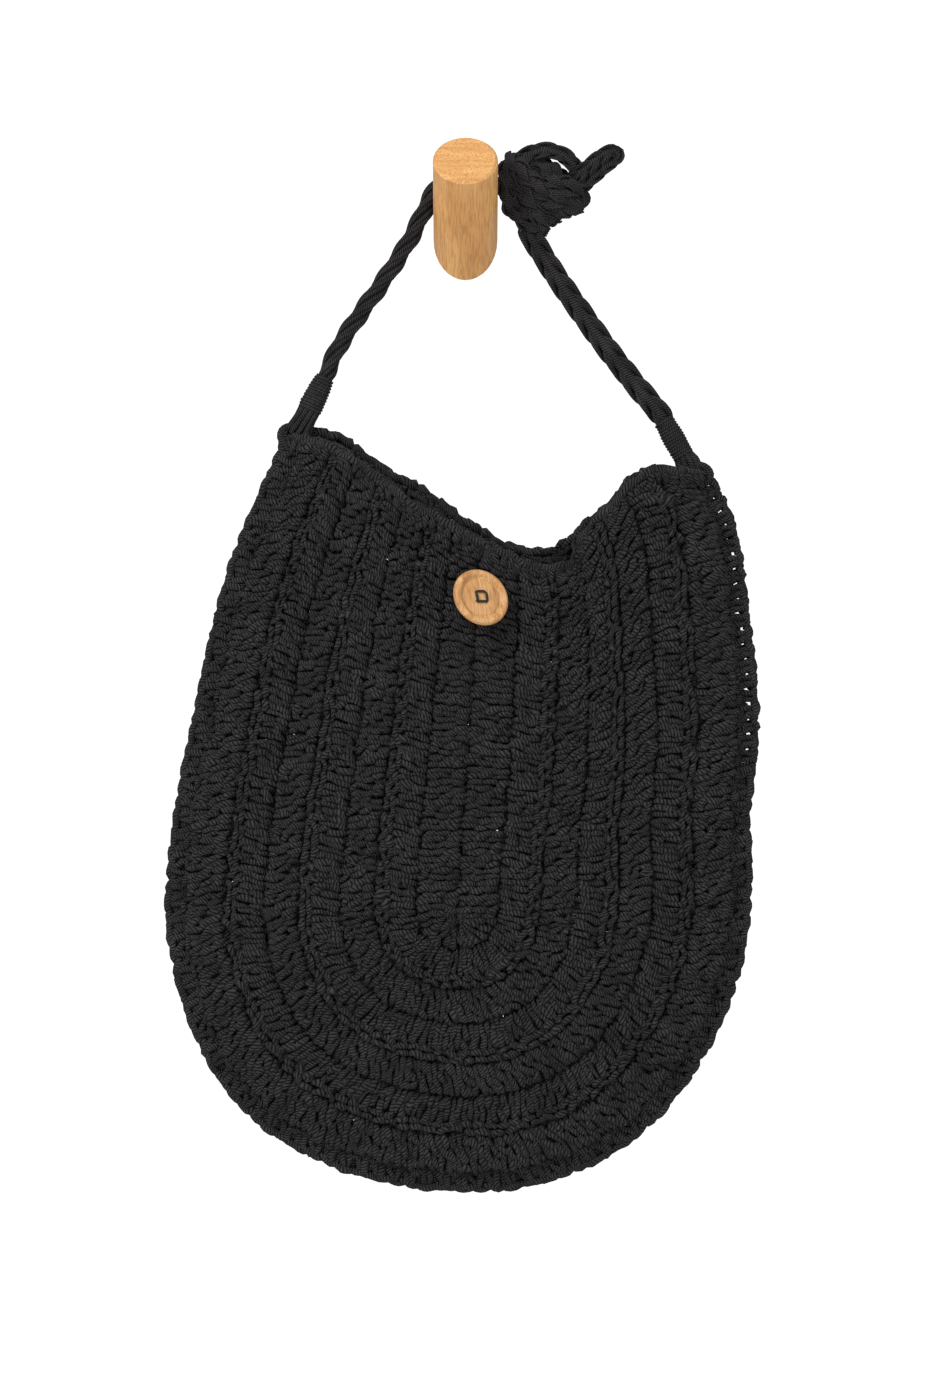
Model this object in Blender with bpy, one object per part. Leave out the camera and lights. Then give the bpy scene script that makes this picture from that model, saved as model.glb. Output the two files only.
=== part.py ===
"""A crocheted shoulder bag that hangs by its knotted, braided strap from a slanted wooden wall peg.

Metres, +Z up. The wall is the plane y = 0 and the bag's front looks along -Y. The origin is the middle of the
peg's back end, on the wall. Tables hold shares of the named sizes.
"""

import math
from collections import namedtuple
from enum import IntEnum

import bmesh
import bpy
from mathutils import Matrix, Vector
from mathutils.bvhtree import BVHTree

# Gap kept between pieces that touch
GAP = 0.0003

# Wall peg
PEG_DIAMETER = 0.030
PEG_LENGTH = 0.0534
PEG_TILT = math.radians(37.0)
PEG_EDGE = 0.0012
PEG_SIDES = 32

# Bag: a half round below a taller part with a sagging mouth
HALF_WIDTH = 0.1376
LEFT_HEIGHT = 0.2221
RIGHT_HEIGHT = 0.2030
FRONT_MIDDLE_HEIGHT = 0.1737
BACK_MIDDLE_HEIGHT = 0.1764
ROUND_DROP = 0.3130
ROUND_SHIFT = -0.0040
SEAM_FROM_WALL = 0.0140
PANEL_THICKNESS = 0.0055
BELLY_DEPTH = 0.0170
BELLY_ROUNDNESS = 0.8
BELLY_FLATTENING = 0.25
MOUTH_DEPTH = 0.0220
BACK_DEPTH = 0.0055

# Crochet rows, the mouth's rim row and the joining edging
ROW_COUNT = 7
LINES_A_ROW = 3
GROOVE_DEPTH = 0.0004
DEEP_GROOVE_DEPTH = 0.0008
RIM_HEIGHT = 0.0068
RIM_THICKNESS = 0.0066
EDGING_WIDTH = 0.0125
EDGING_THICKNESS = 0.0110

# Strap: a flat three-strand braid with yarn-wrapped ends
BRAID_WIDTH = 0.0104
BRAID_THICKNESS = 0.0074
BRAID_PITCH = 0.0090
BRAID_RINGS = 3
BRAID_HALF_WIDTH_SHARE = 0.45
BRAID_HALF_THICKNESS_SHARE = 0.47
BRAID_SWELL = 0.08
BRAID_SWAY = 0.05
BRAID_START_SHARE = 0.60
BRAID_START_STEP = 0.20
BRAID_FROM_WALL = 0.0072
BRAID_TUCK = BRAID_PITCH / 8
BRAID_LEAVES_PEG = math.radians(58.0)
WRAP_LENGTH = 0.0270
WRAP_TOP_DIAMETER = 0.0082
LEFT_WRAP_DIAMETER = 0.0112
RIGHT_WRAP_DIAMETER = 0.0092
WRAP_SUNK_SHARE = 0.22
STRAP_INSET = 0.0091

# Knot beside the peg, with its loop and its doubled tail
KNOT_WIDTH = 0.0425
KNOT_HEIGHT = 0.0375
KNOT_DEPTH = 0.0220
KNOT_FROM_WALL = 0.0135
KNOT_BASE_RISE = 0.0005
LOOP_DIAMETER = 0.0086
TAIL_WIDTH = 0.0122
TAIL_THICKNESS = 0.0095

# Button and its thread
BUTTON_DIAMETER = 0.0276
BUTTON_THICKNESS = 0.0042
BUTTON_FLOOR_DEPTH = 0.0012
BUTTON_FLOOR_DIAMETER = 0.0184
BUTTON_HOLE_DIAMETER = 0.0026
BUTTON_HOLE_SPACING = 0.0050
BUTTON_STAND_OFF = 0.0062
BUTTON_FACING = Vector((0.42, -0.83, 0.36)).normalized()
# Side, share of the way out and share of the way up the front wall
BUTTON_FOOT = (-1, 0.006, 0.818)
BUTTON_SIDES = 32
THREAD_WIDTH = 0.0014
THREAD_THICKNESS = 0.0010

# The bag's side outline: share of the side's height, then half widths as shares of HALF_WIDTH
Outline = namedtuple("Outline", "share left right")
SIDE_OUTLINE = [
    Outline(0.00, 0.992, 1.000),
    Outline(0.10, 0.981, 1.003),
    Outline(0.20, 0.961, 0.997),
    Outline(0.30, 0.934, 1.012),
    Outline(0.40, 0.898, 1.026),
    Outline(0.50, 0.868, 1.022),
    Outline(0.60, 0.831, 1.007),
    Outline(0.70, 0.786, 0.989),
    Outline(0.80, 0.727, 0.970),
    Outline(0.87, 0.675, 0.946),
    Outline(0.92, 0.641, 0.917),
    Outline(0.96, 0.610, 0.880),
    Outline(1.00, 0.597, 0.851),
]

# The half round: share of the quarter turn from the side down to the bottom, radii as shares of HALF_WIDTH
ROUND_OUTLINE = [
    Outline(0.00, 0.992, 1.000),
    Outline(0.14, 0.985, 0.986),
    Outline(0.32, 0.996, 0.980),
    Outline(0.48, 1.001, 0.987),
    Outline(0.62, 0.987, 0.990),
    Outline(0.74, 0.973, 0.985),
    Outline(0.87, 0.964, 0.975),
    Outline(1.00, 0.963, 0.963),
]

# The mouth of each wall: share of the way from its middle to the corner, place across as a share of HALF_WIDTH,
# height as a share of the rise from the mouth's middle to the corner, and how far the front stands forward of the
# seam as a share of MOUTH_DEPTH (the back: towards the wall, as a share of BACK_DEPTH)
Mouth = namedtuple("Mouth", "share out up deep")
FRONT_MOUTH = {
    "left": [
        Mouth(0.000, -0.085, 0.000, 0.50),
        Mouth(0.190, 0.044, 0.202, 0.56),
        Mouth(0.336, 0.142, 0.362, 0.54),
        Mouth(0.555, 0.281, 0.642, 0.40),
        Mouth(0.764, 0.417, 0.894, 0.21),
        Mouth(0.917, 0.532, 0.973, 0.06),
        Mouth(1.000, 0.597, 1.000, 0.00),
    ],
    "right": [
        Mouth(0.000, 0.085, 0.000, 0.50),
        Mouth(0.100, 0.169, -0.200, 0.42),
        Mouth(0.197, 0.251, -0.390, 0.28),
        Mouth(0.258, 0.308, -0.400, 0.18),
        Mouth(0.337, 0.378, -0.337, 0.08),
        Mouth(0.376, 0.407, -0.226, 0.14),
        Mouth(0.423, 0.424, -0.025, 0.44),
        Mouth(0.480, 0.441, 0.217, 0.78),
        Mouth(0.523, 0.468, 0.376, 0.92),
        Mouth(0.616, 0.529, 0.654, 1.00),
        Mouth(0.724, 0.603, 0.972, 0.92),
        Mouth(0.796, 0.664, 1.090, 0.74),
        Mouth(0.857, 0.722, 1.090, 0.52),
        Mouth(0.928, 0.785, 1.048, 0.24),
        Mouth(1.000, 0.851, 1.000, 0.00),
    ],
}
BACK_MOUTH = {
    "left": [
        Mouth(0.000, -0.095, 0.000, 1.00),
        Mouth(0.158, 0.010, 0.203, 0.97),
        Mouth(0.300, 0.098, 0.407, 0.93),
        Mouth(0.479, 0.224, 0.611, 0.86),
        Mouth(0.628, 0.322, 0.815, 0.72),
        Mouth(0.782, 0.424, 1.010, 0.46),
        Mouth(0.876, 0.498, 1.030, 0.24),
        Mouth(1.000, 0.597, 1.000, 0.00),
    ],
    "right": [
        Mouth(0.000, 0.095, 0.000, 1.00),
        Mouth(0.134, 0.197, -0.267, 0.97),
        Mouth(0.205, 0.258, -0.328, 0.94),
        Mouth(0.283, 0.318, -0.320, 0.90),
        Mouth(0.380, 0.378, -0.129, 0.85),
        Mouth(0.488, 0.451, 0.229, 0.80),
        Mouth(0.677, 0.586, 0.702, 0.62),
        Mouth(0.830, 0.705, 1.010, 0.40),
        Mouth(0.930, 0.790, 1.045, 0.20),
        Mouth(1.000, 0.851, 1.000, 0.00),
    ],
}

# The mouth's rim row from its foot up: how far below the top as a share of RIM_HEIGHT, half thickness as a share
# of RIM_THICKNESS
Rim = namedtuple("Rim", "drop half")
RIM_SECTION = [Rim(1.0, 0.43), Rim(0.55, 0.50), Rim(0.16, 0.40), Rim(0.0, 0.18)]

# The knot's sections from its foot up: height as a share of KNOT_HEIGHT, sides as shares of KNOT_WIDTH from the
# peg, half depth as a share of KNOT_DEPTH
Knot = namedtuple("Knot", "up near far half")
KNOT_SECTIONS = [
    Knot(0.00, 0.20, 0.46, 0.26),
    Knot(0.07, 0.13, 0.54, 0.36),
    Knot(0.17, 0.06, 0.68, 0.43),
    Knot(0.27, 0.03, 0.88, 0.47),
    Knot(0.40, 0.01, 0.99, 0.50),
    Knot(0.53, 0.01, 0.99, 0.50),
    Knot(0.65, 0.01, 0.95, 0.47),
    Knot(0.74, 0.01, 0.66, 0.43),
    Knot(0.84, 0.02, 0.40, 0.38),
    Knot(0.94, 0.03, 0.29, 0.32),
    Knot(1.00, 0.08, 0.22, 0.20),
]

# Routes in the knot's own shares: across in KNOT_WIDTH, up in KNOT_HEIGHT, forward in KNOT_DEPTH
Route = namedtuple("Route", "across up forward")
LOOP_ROUTE = [
    Route(0.14, 0.86, 0.04),
    Route(0.32, 0.97, 0.06),
    Route(0.50, 1.05, 0.08),
    Route(0.68, 1.02, 0.08),
    Route(0.83, 0.90, 0.06),
    Route(0.91, 0.73, 0.04),
    Route(0.89, 0.56, 0.02),
]
TAIL_ROUTE = [
    Route(0.72, 0.34, 0.10),
    Route(0.90, 0.50, 0.08),
    Route(1.08, 0.68, 0.05),
    Route(1.22, 0.84, 0.02),
    Route(1.34, 0.96, 0.00),
]
BRAID_INTO_KNOT = [Route(0.12, 0.60, -0.15), Route(0.30, 0.48, 0.0)]
BRAID_OUT_OF_KNOT = Route(0.33, 0.10, 0.0)

# How far each run of the strap bows aside, as shares of its own length
Bow = namedtuple("Bow", "share aside")
LEFT_BOW = [Bow(0.0, 0.0), Bow(0.25, -0.012), Bow(0.55, -0.020), Bow(0.85, -0.012), Bow(1.0, 0.0)]
RIGHT_BOW = [Bow(0.0, 0.0), Bow(0.20, 0.022), Bow(0.50, 0.008), Bow(0.80, 0.0), Bow(1.0, 0.0)]

# The button's half section from its back to its floor: shares of its radius and of its thickness
Turn = namedtuple("Turn", "radius height")
BUTTON_SECTION = [
    Turn(0.80, 0.00),
    Turn(0.94, 0.18),
    Turn(1.00, 0.48),
    Turn(0.97, 0.80),
    Turn(0.89, 1.00),
    Turn(0.80, 0.96),
    Turn(BUTTON_FLOOR_DIAMETER / BUTTON_DIAMETER, 1.0 - BUTTON_FLOOR_DEPTH / BUTTON_THICKNESS),
]


class Part(IntEnum):
    """Which piece of one of the bag's sheets a face belongs to."""

    PANEL = 0
    GAP = 1
    RIM = 2


BACKWARD = Vector((0.0, 1.0, 0.0))


def clear_scene():
    for obj in list(bpy.data.objects):
        bpy.data.objects.remove(obj, do_unlink=True)


def material(name, colour, roughness):
    made = bpy.data.materials.new(name)
    made.use_nodes = True
    shader = made.node_tree.nodes["Principled BSDF"]
    shader.inputs["Base Color"].default_value = (*colour, 1.0)
    shader.inputs["Roughness"].default_value = roughness
    shader.inputs["Metallic"].default_value = 0.0
    return made


def finish(name, bm, look):
    """Turns a closed bmesh into a named object, its faces pointing out."""
    bmesh.ops.recalc_face_normals(bm, faces=bm.faces)
    mesh = bpy.data.meshes.new(name)
    bm.to_mesh(mesh)
    bm.free()
    mesh.shade_smooth()
    mesh.set_sharp_from_angle(angle=math.radians(40.0))
    obj = bpy.data.objects.new(name, mesh)
    obj.data.materials.append(look)
    bpy.context.scene.collection.objects.link(obj)
    return obj


def cut(target, cutter):
    """Cuts one piece to the grown shape of its neighbour, which isn't a piece itself."""
    cutter.hide_render = True
    cutter.display_type = "WIRE"
    modifier = target.modifiers.new("seat", "BOOLEAN")
    modifier.operation = "DIFFERENCE"
    modifier.solver = "EXACT"
    modifier.object = cutter


def eased(table, share, column):
    """A smooth curve through one column of a table, by cubics that don't overshoot."""
    xs = [row.share for row in table]
    ys = [getattr(row, column) for row in table]
    slopes = [(ys[i + 1] - ys[i]) / (xs[i + 1] - xs[i]) for i in range(len(xs) - 1)]
    share = min(max(share, xs[0]), xs[-1])
    i = min(max(sum(x <= share for x in xs) - 1, 0), len(slopes) - 1)

    def tangent(k):
        if k == 0:
            return slopes[0]
        if k == len(slopes):
            return slopes[-1]
        if slopes[k - 1] * slopes[k] <= 0.0:
            return 0.0
        return 2.0 * slopes[k - 1] * slopes[k] / (slopes[k - 1] + slopes[k])

    width = xs[i + 1] - xs[i]
    t = (share - xs[i]) / width
    return (
        ys[i] * (2 * t**3 - 3 * t**2 + 1)
        + tangent(i) * width * (t**3 - 2 * t**2 + t)
        + ys[i + 1] * (3 * t**2 - 2 * t**3)
        + tangent(i + 1) * width * (t**3 - t**2)
    )


def spline(points, count):
    """Evenly counted points on a smooth curve through a few points."""
    padded = [2 * points[0] - points[1], *points, 2 * points[-1] - points[-2]]
    path = []
    for k in range(count + 1):
        place = k / count * (len(points) - 1)
        i = min(int(place), len(points) - 2)
        t = place - i
        a, b, c, d = padded[i : i + 4]
        path.append(
            0.5 * (2 * b + (c - a) * t + (2 * a - 5 * b + 4 * c - d) * t**2 + (3 * b - a - 3 * c + d) * t**3)
        )
    return path


def side_name(side):
    return "left" if side < 0 else "right"


def flat_point(mouth, middle_height, side, out, v):
    """The bag laid flat as (x, z): out runs from the middle line to the edge, v from 1 at the mouth to -1."""
    name = side_name(side)
    if v < 0.0:
        radius = out * HALF_WIDTH * eased(ROUND_OUTLINE, -v, name)
        turn = -v * math.pi / 2
        return side * radius * math.cos(turn), -radius * math.sin(turn)
    height = LEFT_HEIGHT if side < 0 else RIGHT_HEIGHT
    table = mouth[name]

    def edge(share):
        return side * HALF_WIDTH * eased(SIDE_OUTLINE, share, name), height * share

    def rim(share):
        up = middle_height + (height - middle_height) * eased(table, share, "up")
        return side * HALF_WIDTH * eased(table, share, "out"), up

    middle, corner, start = rim(0.0), edge(1.0), edge(0.0)
    point = []
    for i in range(2):
        ruled = (1 - out) * middle[i] * v + out * edge(v)[i]
        across = (1 - v) * start[i] * out + v * rim(out)[i]
        bilinear = out * (1 - v) * start[i] + (1 - out) * v * middle[i] + out * v * corner[i]
        point.append(ruled + across - bilinear)
    return point[0], point[1]


def belly(out, v):
    """How full the bag is, from 1 at its middle to 0 at its edge, and flatter towards its bottom."""
    fullness = max(1.0 - out**2, 0.0) ** BELLY_ROUNDNESS
    return fullness * (1.0 - BELLY_FLATTENING * max(-v, 0.0))


def front_point(side, out, v):
    """The middle of the front wall's thickness."""
    x, z = flat_point(FRONT_MOUTH, FRONT_MIDDLE_HEIGHT, side, out, v)
    deep = BELLY_DEPTH * belly(out, v)
    if v > 0.0:
        pull = v**2
        deep = (1 - pull) * deep + pull * MOUTH_DEPTH * eased(FRONT_MOUTH[side_name(side)], out, "deep")
    y = -SEAM_FROM_WALL - (PANEL_THICKNESS + GAP) / 2 - deep
    return Vector((ROUND_SHIFT + x, y, z - ROUND_DROP))


def back_point(side, out, v):
    """The middle of the back wall's thickness."""
    x, z = flat_point(BACK_MOUTH, BACK_MIDDLE_HEIGHT, side, out, v)
    deep = belly(out, v)
    if v > 0.0:
        deep = (1 - v) * deep + v * eased(BACK_MOUTH[side_name(side)], out, "deep")
    y = -SEAM_FROM_WALL + (PANEL_THICKNESS + GAP) / 2 + BACK_DEPTH * deep
    return Vector((ROUND_SHIFT + x, y, z - ROUND_DROP))


def span(curve, steps=24):
    """The length of a curve given over 0 to 1."""
    points = [curve(k / steps) for k in range(steps + 1)]
    return sum((points[k + 1] - points[k]).length for k in range(steps))


def inner_share(surface, side, v, width):
    """How far out a line stops to leave the given width to the bag's edge."""
    return 1.0 - width / span(lambda share: surface(side, share, v))


def lower_share(surface, side, out, drop):
    """How far up a line stops to leave the given drop to the mouth."""
    return 1.0 - drop / span(lambda share: surface(side, out, share))


def u_stations(upper, lower):
    """Stations along a row: down the left side, round the bottom and up the right side."""
    down = [(-1, 1.0 - k / upper) for k in range(upper)]
    left_round = [(-1, -k / lower) for k in range(lower)]
    right_round = [(1, -1.0 + k / lower) for k in range(lower)]
    up = [(1, k / upper) for k in range(upper + 1)]
    return down + left_round + right_round + up


def thicken(bm, keep, grow=0.0):
    """Makes the faces of an open sheet whose piece layer says keep into a closed wall."""
    piece = bm.faces.layers.int["piece"]
    facing = bm.verts.layers.float_vector["facing"]
    outer_half = bm.verts.layers.float["outer_half"]
    inner_half = bm.verts.layers.float["inner_half"]
    kept = [face for face in bm.faces if face[piece] == keep]
    wall = bmesh.new()
    outer = {}
    inner = {}
    for vert in bm.verts:
        if any(face[piece] == keep for face in vert.link_faces):
            outer[vert] = wall.verts.new(vert.co + vert[facing] * (vert[outer_half] + grow))
            inner[vert] = wall.verts.new(vert.co - vert[facing] * (vert[inner_half] + grow))
    for face in kept:
        wall.faces.new([outer[vert] for vert in face.verts])
        wall.faces.new([inner[vert] for vert in reversed(face.verts)])
        for loop in face.loops:
            if sum(other[piece] == keep for other in loop.edge.link_faces) == 1:
                start, end = loop.vert, loop.link_loop_next.vert
                # Split the same way on both sides of a gap, by which end lies further left
                if start.co.x < end.co.x:
                    wall.faces.new([outer[end], outer[start], inner[end]])
                    wall.faces.new([outer[start], inner[start], inner[end]])
                else:
                    wall.faces.new([outer[end], outer[start], inner[start]])
                    wall.faces.new([outer[end], inner[start], inner[end]])
    return wall


def sheet(surface, outward):
    """The middle of one wall of the bag: the panel's ribbed U-shaped rows, a gap, then the mouth's rim row."""
    down = [(-1, 1.0, line) for line in reversed(RIM_SECTION)]
    up = [(1, 1.0, line) for line in RIM_SECTION]
    stations = down + [(side, v, None) for side, v in u_stations(8, 6)] + up
    lines = ROW_COUNT * LINES_A_ROW
    bm = bmesh.new()
    outer_half = bm.verts.layers.float.new("outer_half")
    inner_half = bm.verts.layers.float.new("inner_half")
    facing = bm.verts.layers.float_vector.new("facing")
    piece = bm.faces.layers.int.new("piece")
    grid = []
    for side, v, line in stations:
        reach = inner_share(surface, side, v, EDGING_WIDTH + GAP)
        drop = line.drop * RIM_HEIGHT if line else RIM_HEIGHT + GAP
        column = []
        for i in range(lines + 1):
            out = reach * i / lines
            top = lower_share(surface, side, out, drop) if v > 0.0 and drop else 1.0
            vert = bm.verts.new(surface(side, out, v * top))
            half = line.half * RIM_THICKNESS if line else PANEL_THICKNESS / 2
            groove = 0.0
            if not line and i % (2 * LINES_A_ROW) == LINES_A_ROW:
                groove = DEEP_GROOVE_DEPTH
            elif not line and i % LINES_A_ROW == 0:
                groove = GROOVE_DEPTH
            vert[outer_half] = half - groove
            vert[inner_half] = half
            column.append(vert)
        grid.append(column)
    for k in range(len(grid) - 1):
        near, far = stations[k][2], stations[k + 1][2]
        kind = Part.RIM if near and far else Part.GAP if near or far else Part.PANEL
        for i in range(lines):
            face = bm.faces.new([grid[k][i], grid[k][i + 1], grid[k + 1][i + 1], grid[k + 1][i]])
            face[piece] = kind
    bmesh.ops.remove_doubles(bm, verts=bm.verts, dist=0.00002)
    bm.normal_update()
    if sum((face.normal * face.calc_area() for face in bm.faces), Vector()).dot(outward) < 0.0:
        bmesh.ops.reverse_faces(bm, faces=bm.faces)
        bm.normal_update()
    for vert in bm.verts:
        vert[facing] = vert.normal
    for face in bm.faces:
        if face[piece] == Part.GAP:
            for edge in face.edges:
                if edge.calc_length() < 2 * GAP:
                    a, b = edge.verts
                    shared = (a.normal + b.normal).normalized()
                    a[facing] = shared
                    b[facing] = shared
    return bm


def ring(centre, axis_a, half_a, axis_b, half_b, sides):
    turns = [2 * math.pi * k / sides for k in range(sides)]
    return [centre + axis_a * (half_a * math.cos(t)) + axis_b * (half_b * math.sin(t)) for t in turns]


def loft(name, rings, look):
    """Joins rings of equally many points into one closed body with fanned ends."""
    bm = bmesh.new()
    loops = [[bm.verts.new(point) for point in points] for points in rings]
    sides = len(loops[0])
    for low, high in zip(loops, loops[1:]):
        for k in range(sides):
            bm.faces.new([low[k], low[(k + 1) % sides], high[(k + 1) % sides], high[k]])
    for loop in (loops[0], loops[-1]):
        middle = bm.verts.new(sum((vert.co for vert in loop), Vector()) / sides)
        for k in range(sides):
            bm.faces.new([loop[k], loop[(k + 1) % sides], middle])
    return finish(name, bm, look)


def directions(path):
    """The direction of a path at each of its points."""
    found = []
    for k in range(len(path)):
        ahead = path[min(k + 1, len(path) - 1)]
        behind = path[max(k - 1, 0)]
        found.append((ahead - behind).normalized())
    return found


def resample(path, step):
    """The same path with its points evenly spaced."""
    lengths = [0.0]
    for a, b in zip(path, path[1:]):
        lengths.append(lengths[-1] + (b - a).length)
    count = max(round(lengths[-1] / step), 3)
    even = []
    k = 0
    for i in range(count + 1):
        along = lengths[-1] * i / count
        while k < len(path) - 2 and lengths[k + 1] < along:
            k += 1
        t = (along - lengths[k]) / (lengths[k + 1] - lengths[k])
        even.append(path[k].lerp(path[k + 1], min(t, 1.0)))
    return even


def round_end(step, last, reach=2):
    """How a tube narrows over its last few rings."""
    nearest = min(step, last - step)
    return 1.0 if nearest >= reach else math.sqrt(1.0 - (1.0 - (nearest + 0.35) / (reach + 0.35)) ** 2)


def braid(name, path, flat_on_wall, look):
    """A flat braid along a path. flat_on_wall turns its broad side to the wall, else across it."""
    path = resample(path, BRAID_PITCH / BRAID_RINGS)
    rings = []
    for k, (centre, along) in enumerate(zip(path, directions(path))):
        backward = (BACKWARD - along * BACKWARD.dot(along)).normalized()
        across = along.cross(backward)
        broad, thin = (across, backward) if flat_on_wall else (backward, across)
        phase = 2 * math.pi * k / BRAID_RINGS
        sway = broad * (BRAID_SWAY * BRAID_WIDTH * math.sin(phase))
        swell = 1.0 + BRAID_SWELL * math.cos(2 * phase)
        # It narrows where it comes out of its wrapped end
        start = min(BRAID_START_SHARE + BRAID_START_STEP * k, 1.0)
        half_width = BRAID_HALF_WIDTH_SHARE * BRAID_WIDTH * swell * start
        half_thickness = BRAID_HALF_THICKNESS_SHARE * BRAID_THICKNESS * (2.0 - swell) * start
        rings.append(ring(centre + sway, broad, half_width, thin, half_thickness, 8))
    return loft(name, rings, look)


def tube(name, path, broad, thin, grow, look, sides=10, flat_start=False):
    """A rounded tube along a path, broad across the view and thin through it."""
    rings = []
    last = len(path) - 1
    for k, (centre, along) in enumerate(zip(path, directions(path))):
        backward = (BACKWARD - along * BACKWARD.dot(along)).normalized()
        across = along.cross(backward)
        scale = 1.0 if flat_start and k < last / 2 else round_end(k, last)
        rings.append(ring(centre, across, broad / 2 * scale + grow, backward, thin / 2 * scale + grow, sides))
    return loft(name, rings, look)


def wall_peg(look):
    """A tilted dowel whose back end is cut flush to the wall and whose front edge is slightly eased."""
    axis = Vector((0.0, -math.cos(PEG_TILT), math.sin(PEG_TILT)))
    upward = Vector((0.0, math.sin(PEG_TILT), math.cos(PEG_TILT)))
    across = Vector((1.0, 0.0, 0.0))
    radius = PEG_DIAMETER / 2
    flush = [point - axis * (point.y / axis.y) for point in ring(Vector(), across, radius, upward, radius, PEG_SIDES)]
    shoulder = ring(axis * (PEG_LENGTH - PEG_EDGE), across, radius, upward, radius, PEG_SIDES)
    face_radius = radius - PEG_EDGE
    face = ring(axis * PEG_LENGTH, across, face_radius, upward, face_radius, PEG_SIDES)
    return loft("wall_peg", [flush, shoulder, face], look)


def edging(name, grow, look):
    """The band that joins the panels round the sides and the bottom, with its ends at the corners."""
    stations = u_stations(14, 12)
    path = []
    for side, v in stations:
        front = front_point(side, inner_share(front_point, side, v, EDGING_WIDTH / 2), v)
        path.append(Vector((front.x, -SEAM_FROM_WALL, front.z)))
    rings = []
    last = len(path) - 1
    for k, (centre, along) in enumerate(zip(path, directions(path))):
        outward = along.cross(BACKWARD)
        scale = round_end(k, last, reach=1)
        half_width = EDGING_WIDTH / 2 * scale + grow
        half_thickness = EDGING_THICKNESS / 2 * scale + grow
        end = along * (grow if k == last else -grow if k == 0 else 0.0)
        rings.append(ring(centre + end, outward, half_width, BACKWARD, half_thickness, 8))
    return loft(name, rings, look)


def corner(side):
    """Where the strap leaves the bag: the rims' top between the two walls, a little in from the corner."""
    top = front_point(side, 1.0, 1.0)
    inset = inner_share(front_point, side, 1.0, STRAP_INSET)
    front = front_point(side, inset, 1.0)
    back = back_point(side, inset, 1.0)
    return Vector((front.x, -SEAM_FROM_WALL, max(top.z, front.z, back.z) + GAP))


def bowed(start, end, bows, steps=16):
    """A nearly straight run that bows aside in the wall's plane."""
    run = end - start
    aside = Vector((run.z, 0.0, -run.x))
    return [start + run * (k / steps) + aside * eased(bows, k / steps, "aside") for k in range(steps + 1)]


def peg_ellipse(from_wall, clearance):
    """Middle height and half axes of a path round the peg, parallel to the wall."""
    radius = PEG_DIAMETER / 2
    middle = from_wall * math.tan(PEG_TILT)
    return middle, radius + clearance, (radius + clearance) / math.cos(PEG_TILT)


def over_the_peg(start):
    """The strap's way over the peg from where a run from start touches it, to inside the knot."""
    # The braid's underside meets the peg's slope, so both its largest half sizes lift it
    half_width = BRAID_HALF_WIDTH_SHARE * BRAID_WIDTH * (1.0 + BRAID_SWELL)
    half_thickness = BRAID_HALF_THICKNESS_SHARE * BRAID_THICKNESS * (1.0 + BRAID_SWELL)
    lift = math.hypot(half_width * math.sin(PEG_TILT), half_thickness * math.cos(PEG_TILT))
    middle, half_across, half_up = peg_ellipse(BRAID_FROM_WALL, lift + GAP)
    flat = (start.x / half_across, (start.z - middle) / half_up)
    reach = math.hypot(*flat)
    touch = math.atan2(flat[1], flat[0]) % (2 * math.pi) - math.acos(1.0 / reach)
    steps = 18
    path = []
    for k in range(steps + 1):
        turn = touch + (BRAID_LEAVES_PEG - touch) * k / steps
        path.append(Vector((half_across * math.cos(turn), -BRAID_FROM_WALL, middle + half_up * math.sin(turn))))
    inside = [knot_place(route) for route in BRAID_INTO_KNOT]
    return path + spline([path[-1], *inside], 6)[1:]


def knot_place(route):
    """A point given in the knot's own shares."""
    return Vector(
        (
            PEG_DIAMETER / 2 + GAP + route.across * KNOT_WIDTH,
            -KNOT_FROM_WALL - route.forward * KNOT_DEPTH,
            KNOT_BASE_RISE + route.up * KNOT_HEIGHT,
        )
    )


def knot_body(name, grow, look):
    """The knot's gathered mass, wide in its middle and narrow where the braid leaves it."""
    rings = []
    for section in KNOT_SECTIONS:
        centre = knot_place(Route((section.near + section.far) / 2, section.up, 0.0))
        half_width = (section.far - section.near) / 2 * KNOT_WIDTH + grow
        half_depth = section.half * KNOT_DEPTH + grow
        rings.append(ring(centre, Vector((1.0, 0.0, 0.0)), half_width, BACKWARD, half_depth, 14))
    rings[0] = [point - Vector((0.0, 0.0, grow)) for point in rings[0]]
    rings[-1] = [point + Vector((0.0, 0.0, grow)) for point in rings[-1]]
    return loft(name, rings, look)


def knot_loop(name, grow, look):
    path = spline([knot_place(route) for route in LOOP_ROUTE], 14)
    return tube(name, path, LOOP_DIAMETER, LOOP_DIAMETER, grow, look)


def knot_tail(look):
    path = spline([knot_place(route) for route in TAIL_ROUTE], 12)
    return tube("knot_tail", path, TAIL_WIDTH, TAIL_THICKNESS, 0.0, look, flat_start=True)


def wrap(name, base, direction, base_diameter, grow, look):
    """A yarn-wrapped end of the strap, which widens to its seat on the bag's corner."""
    steps = 10
    across = direction.cross(BACKWARD).normalized()
    # Its foot starts a little low, because it is cut to the slanting rims
    sunk = WRAP_SUNK_SHARE * base_diameter
    rings = []
    for k in range(steps + 1):
        share = k / steps
        centre = base + direction * ((WRAP_LENGTH + sunk) * share - sunk)
        radius = (base_diameter + (WRAP_TOP_DIAMETER - base_diameter) * share) / 2 + grow
        rings.append(ring(centre, across, radius, BACKWARD, radius, 12))
    rings[-1] = [point + direction * grow for point in rings[-1]]
    return loft(name, rings, look)


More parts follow.
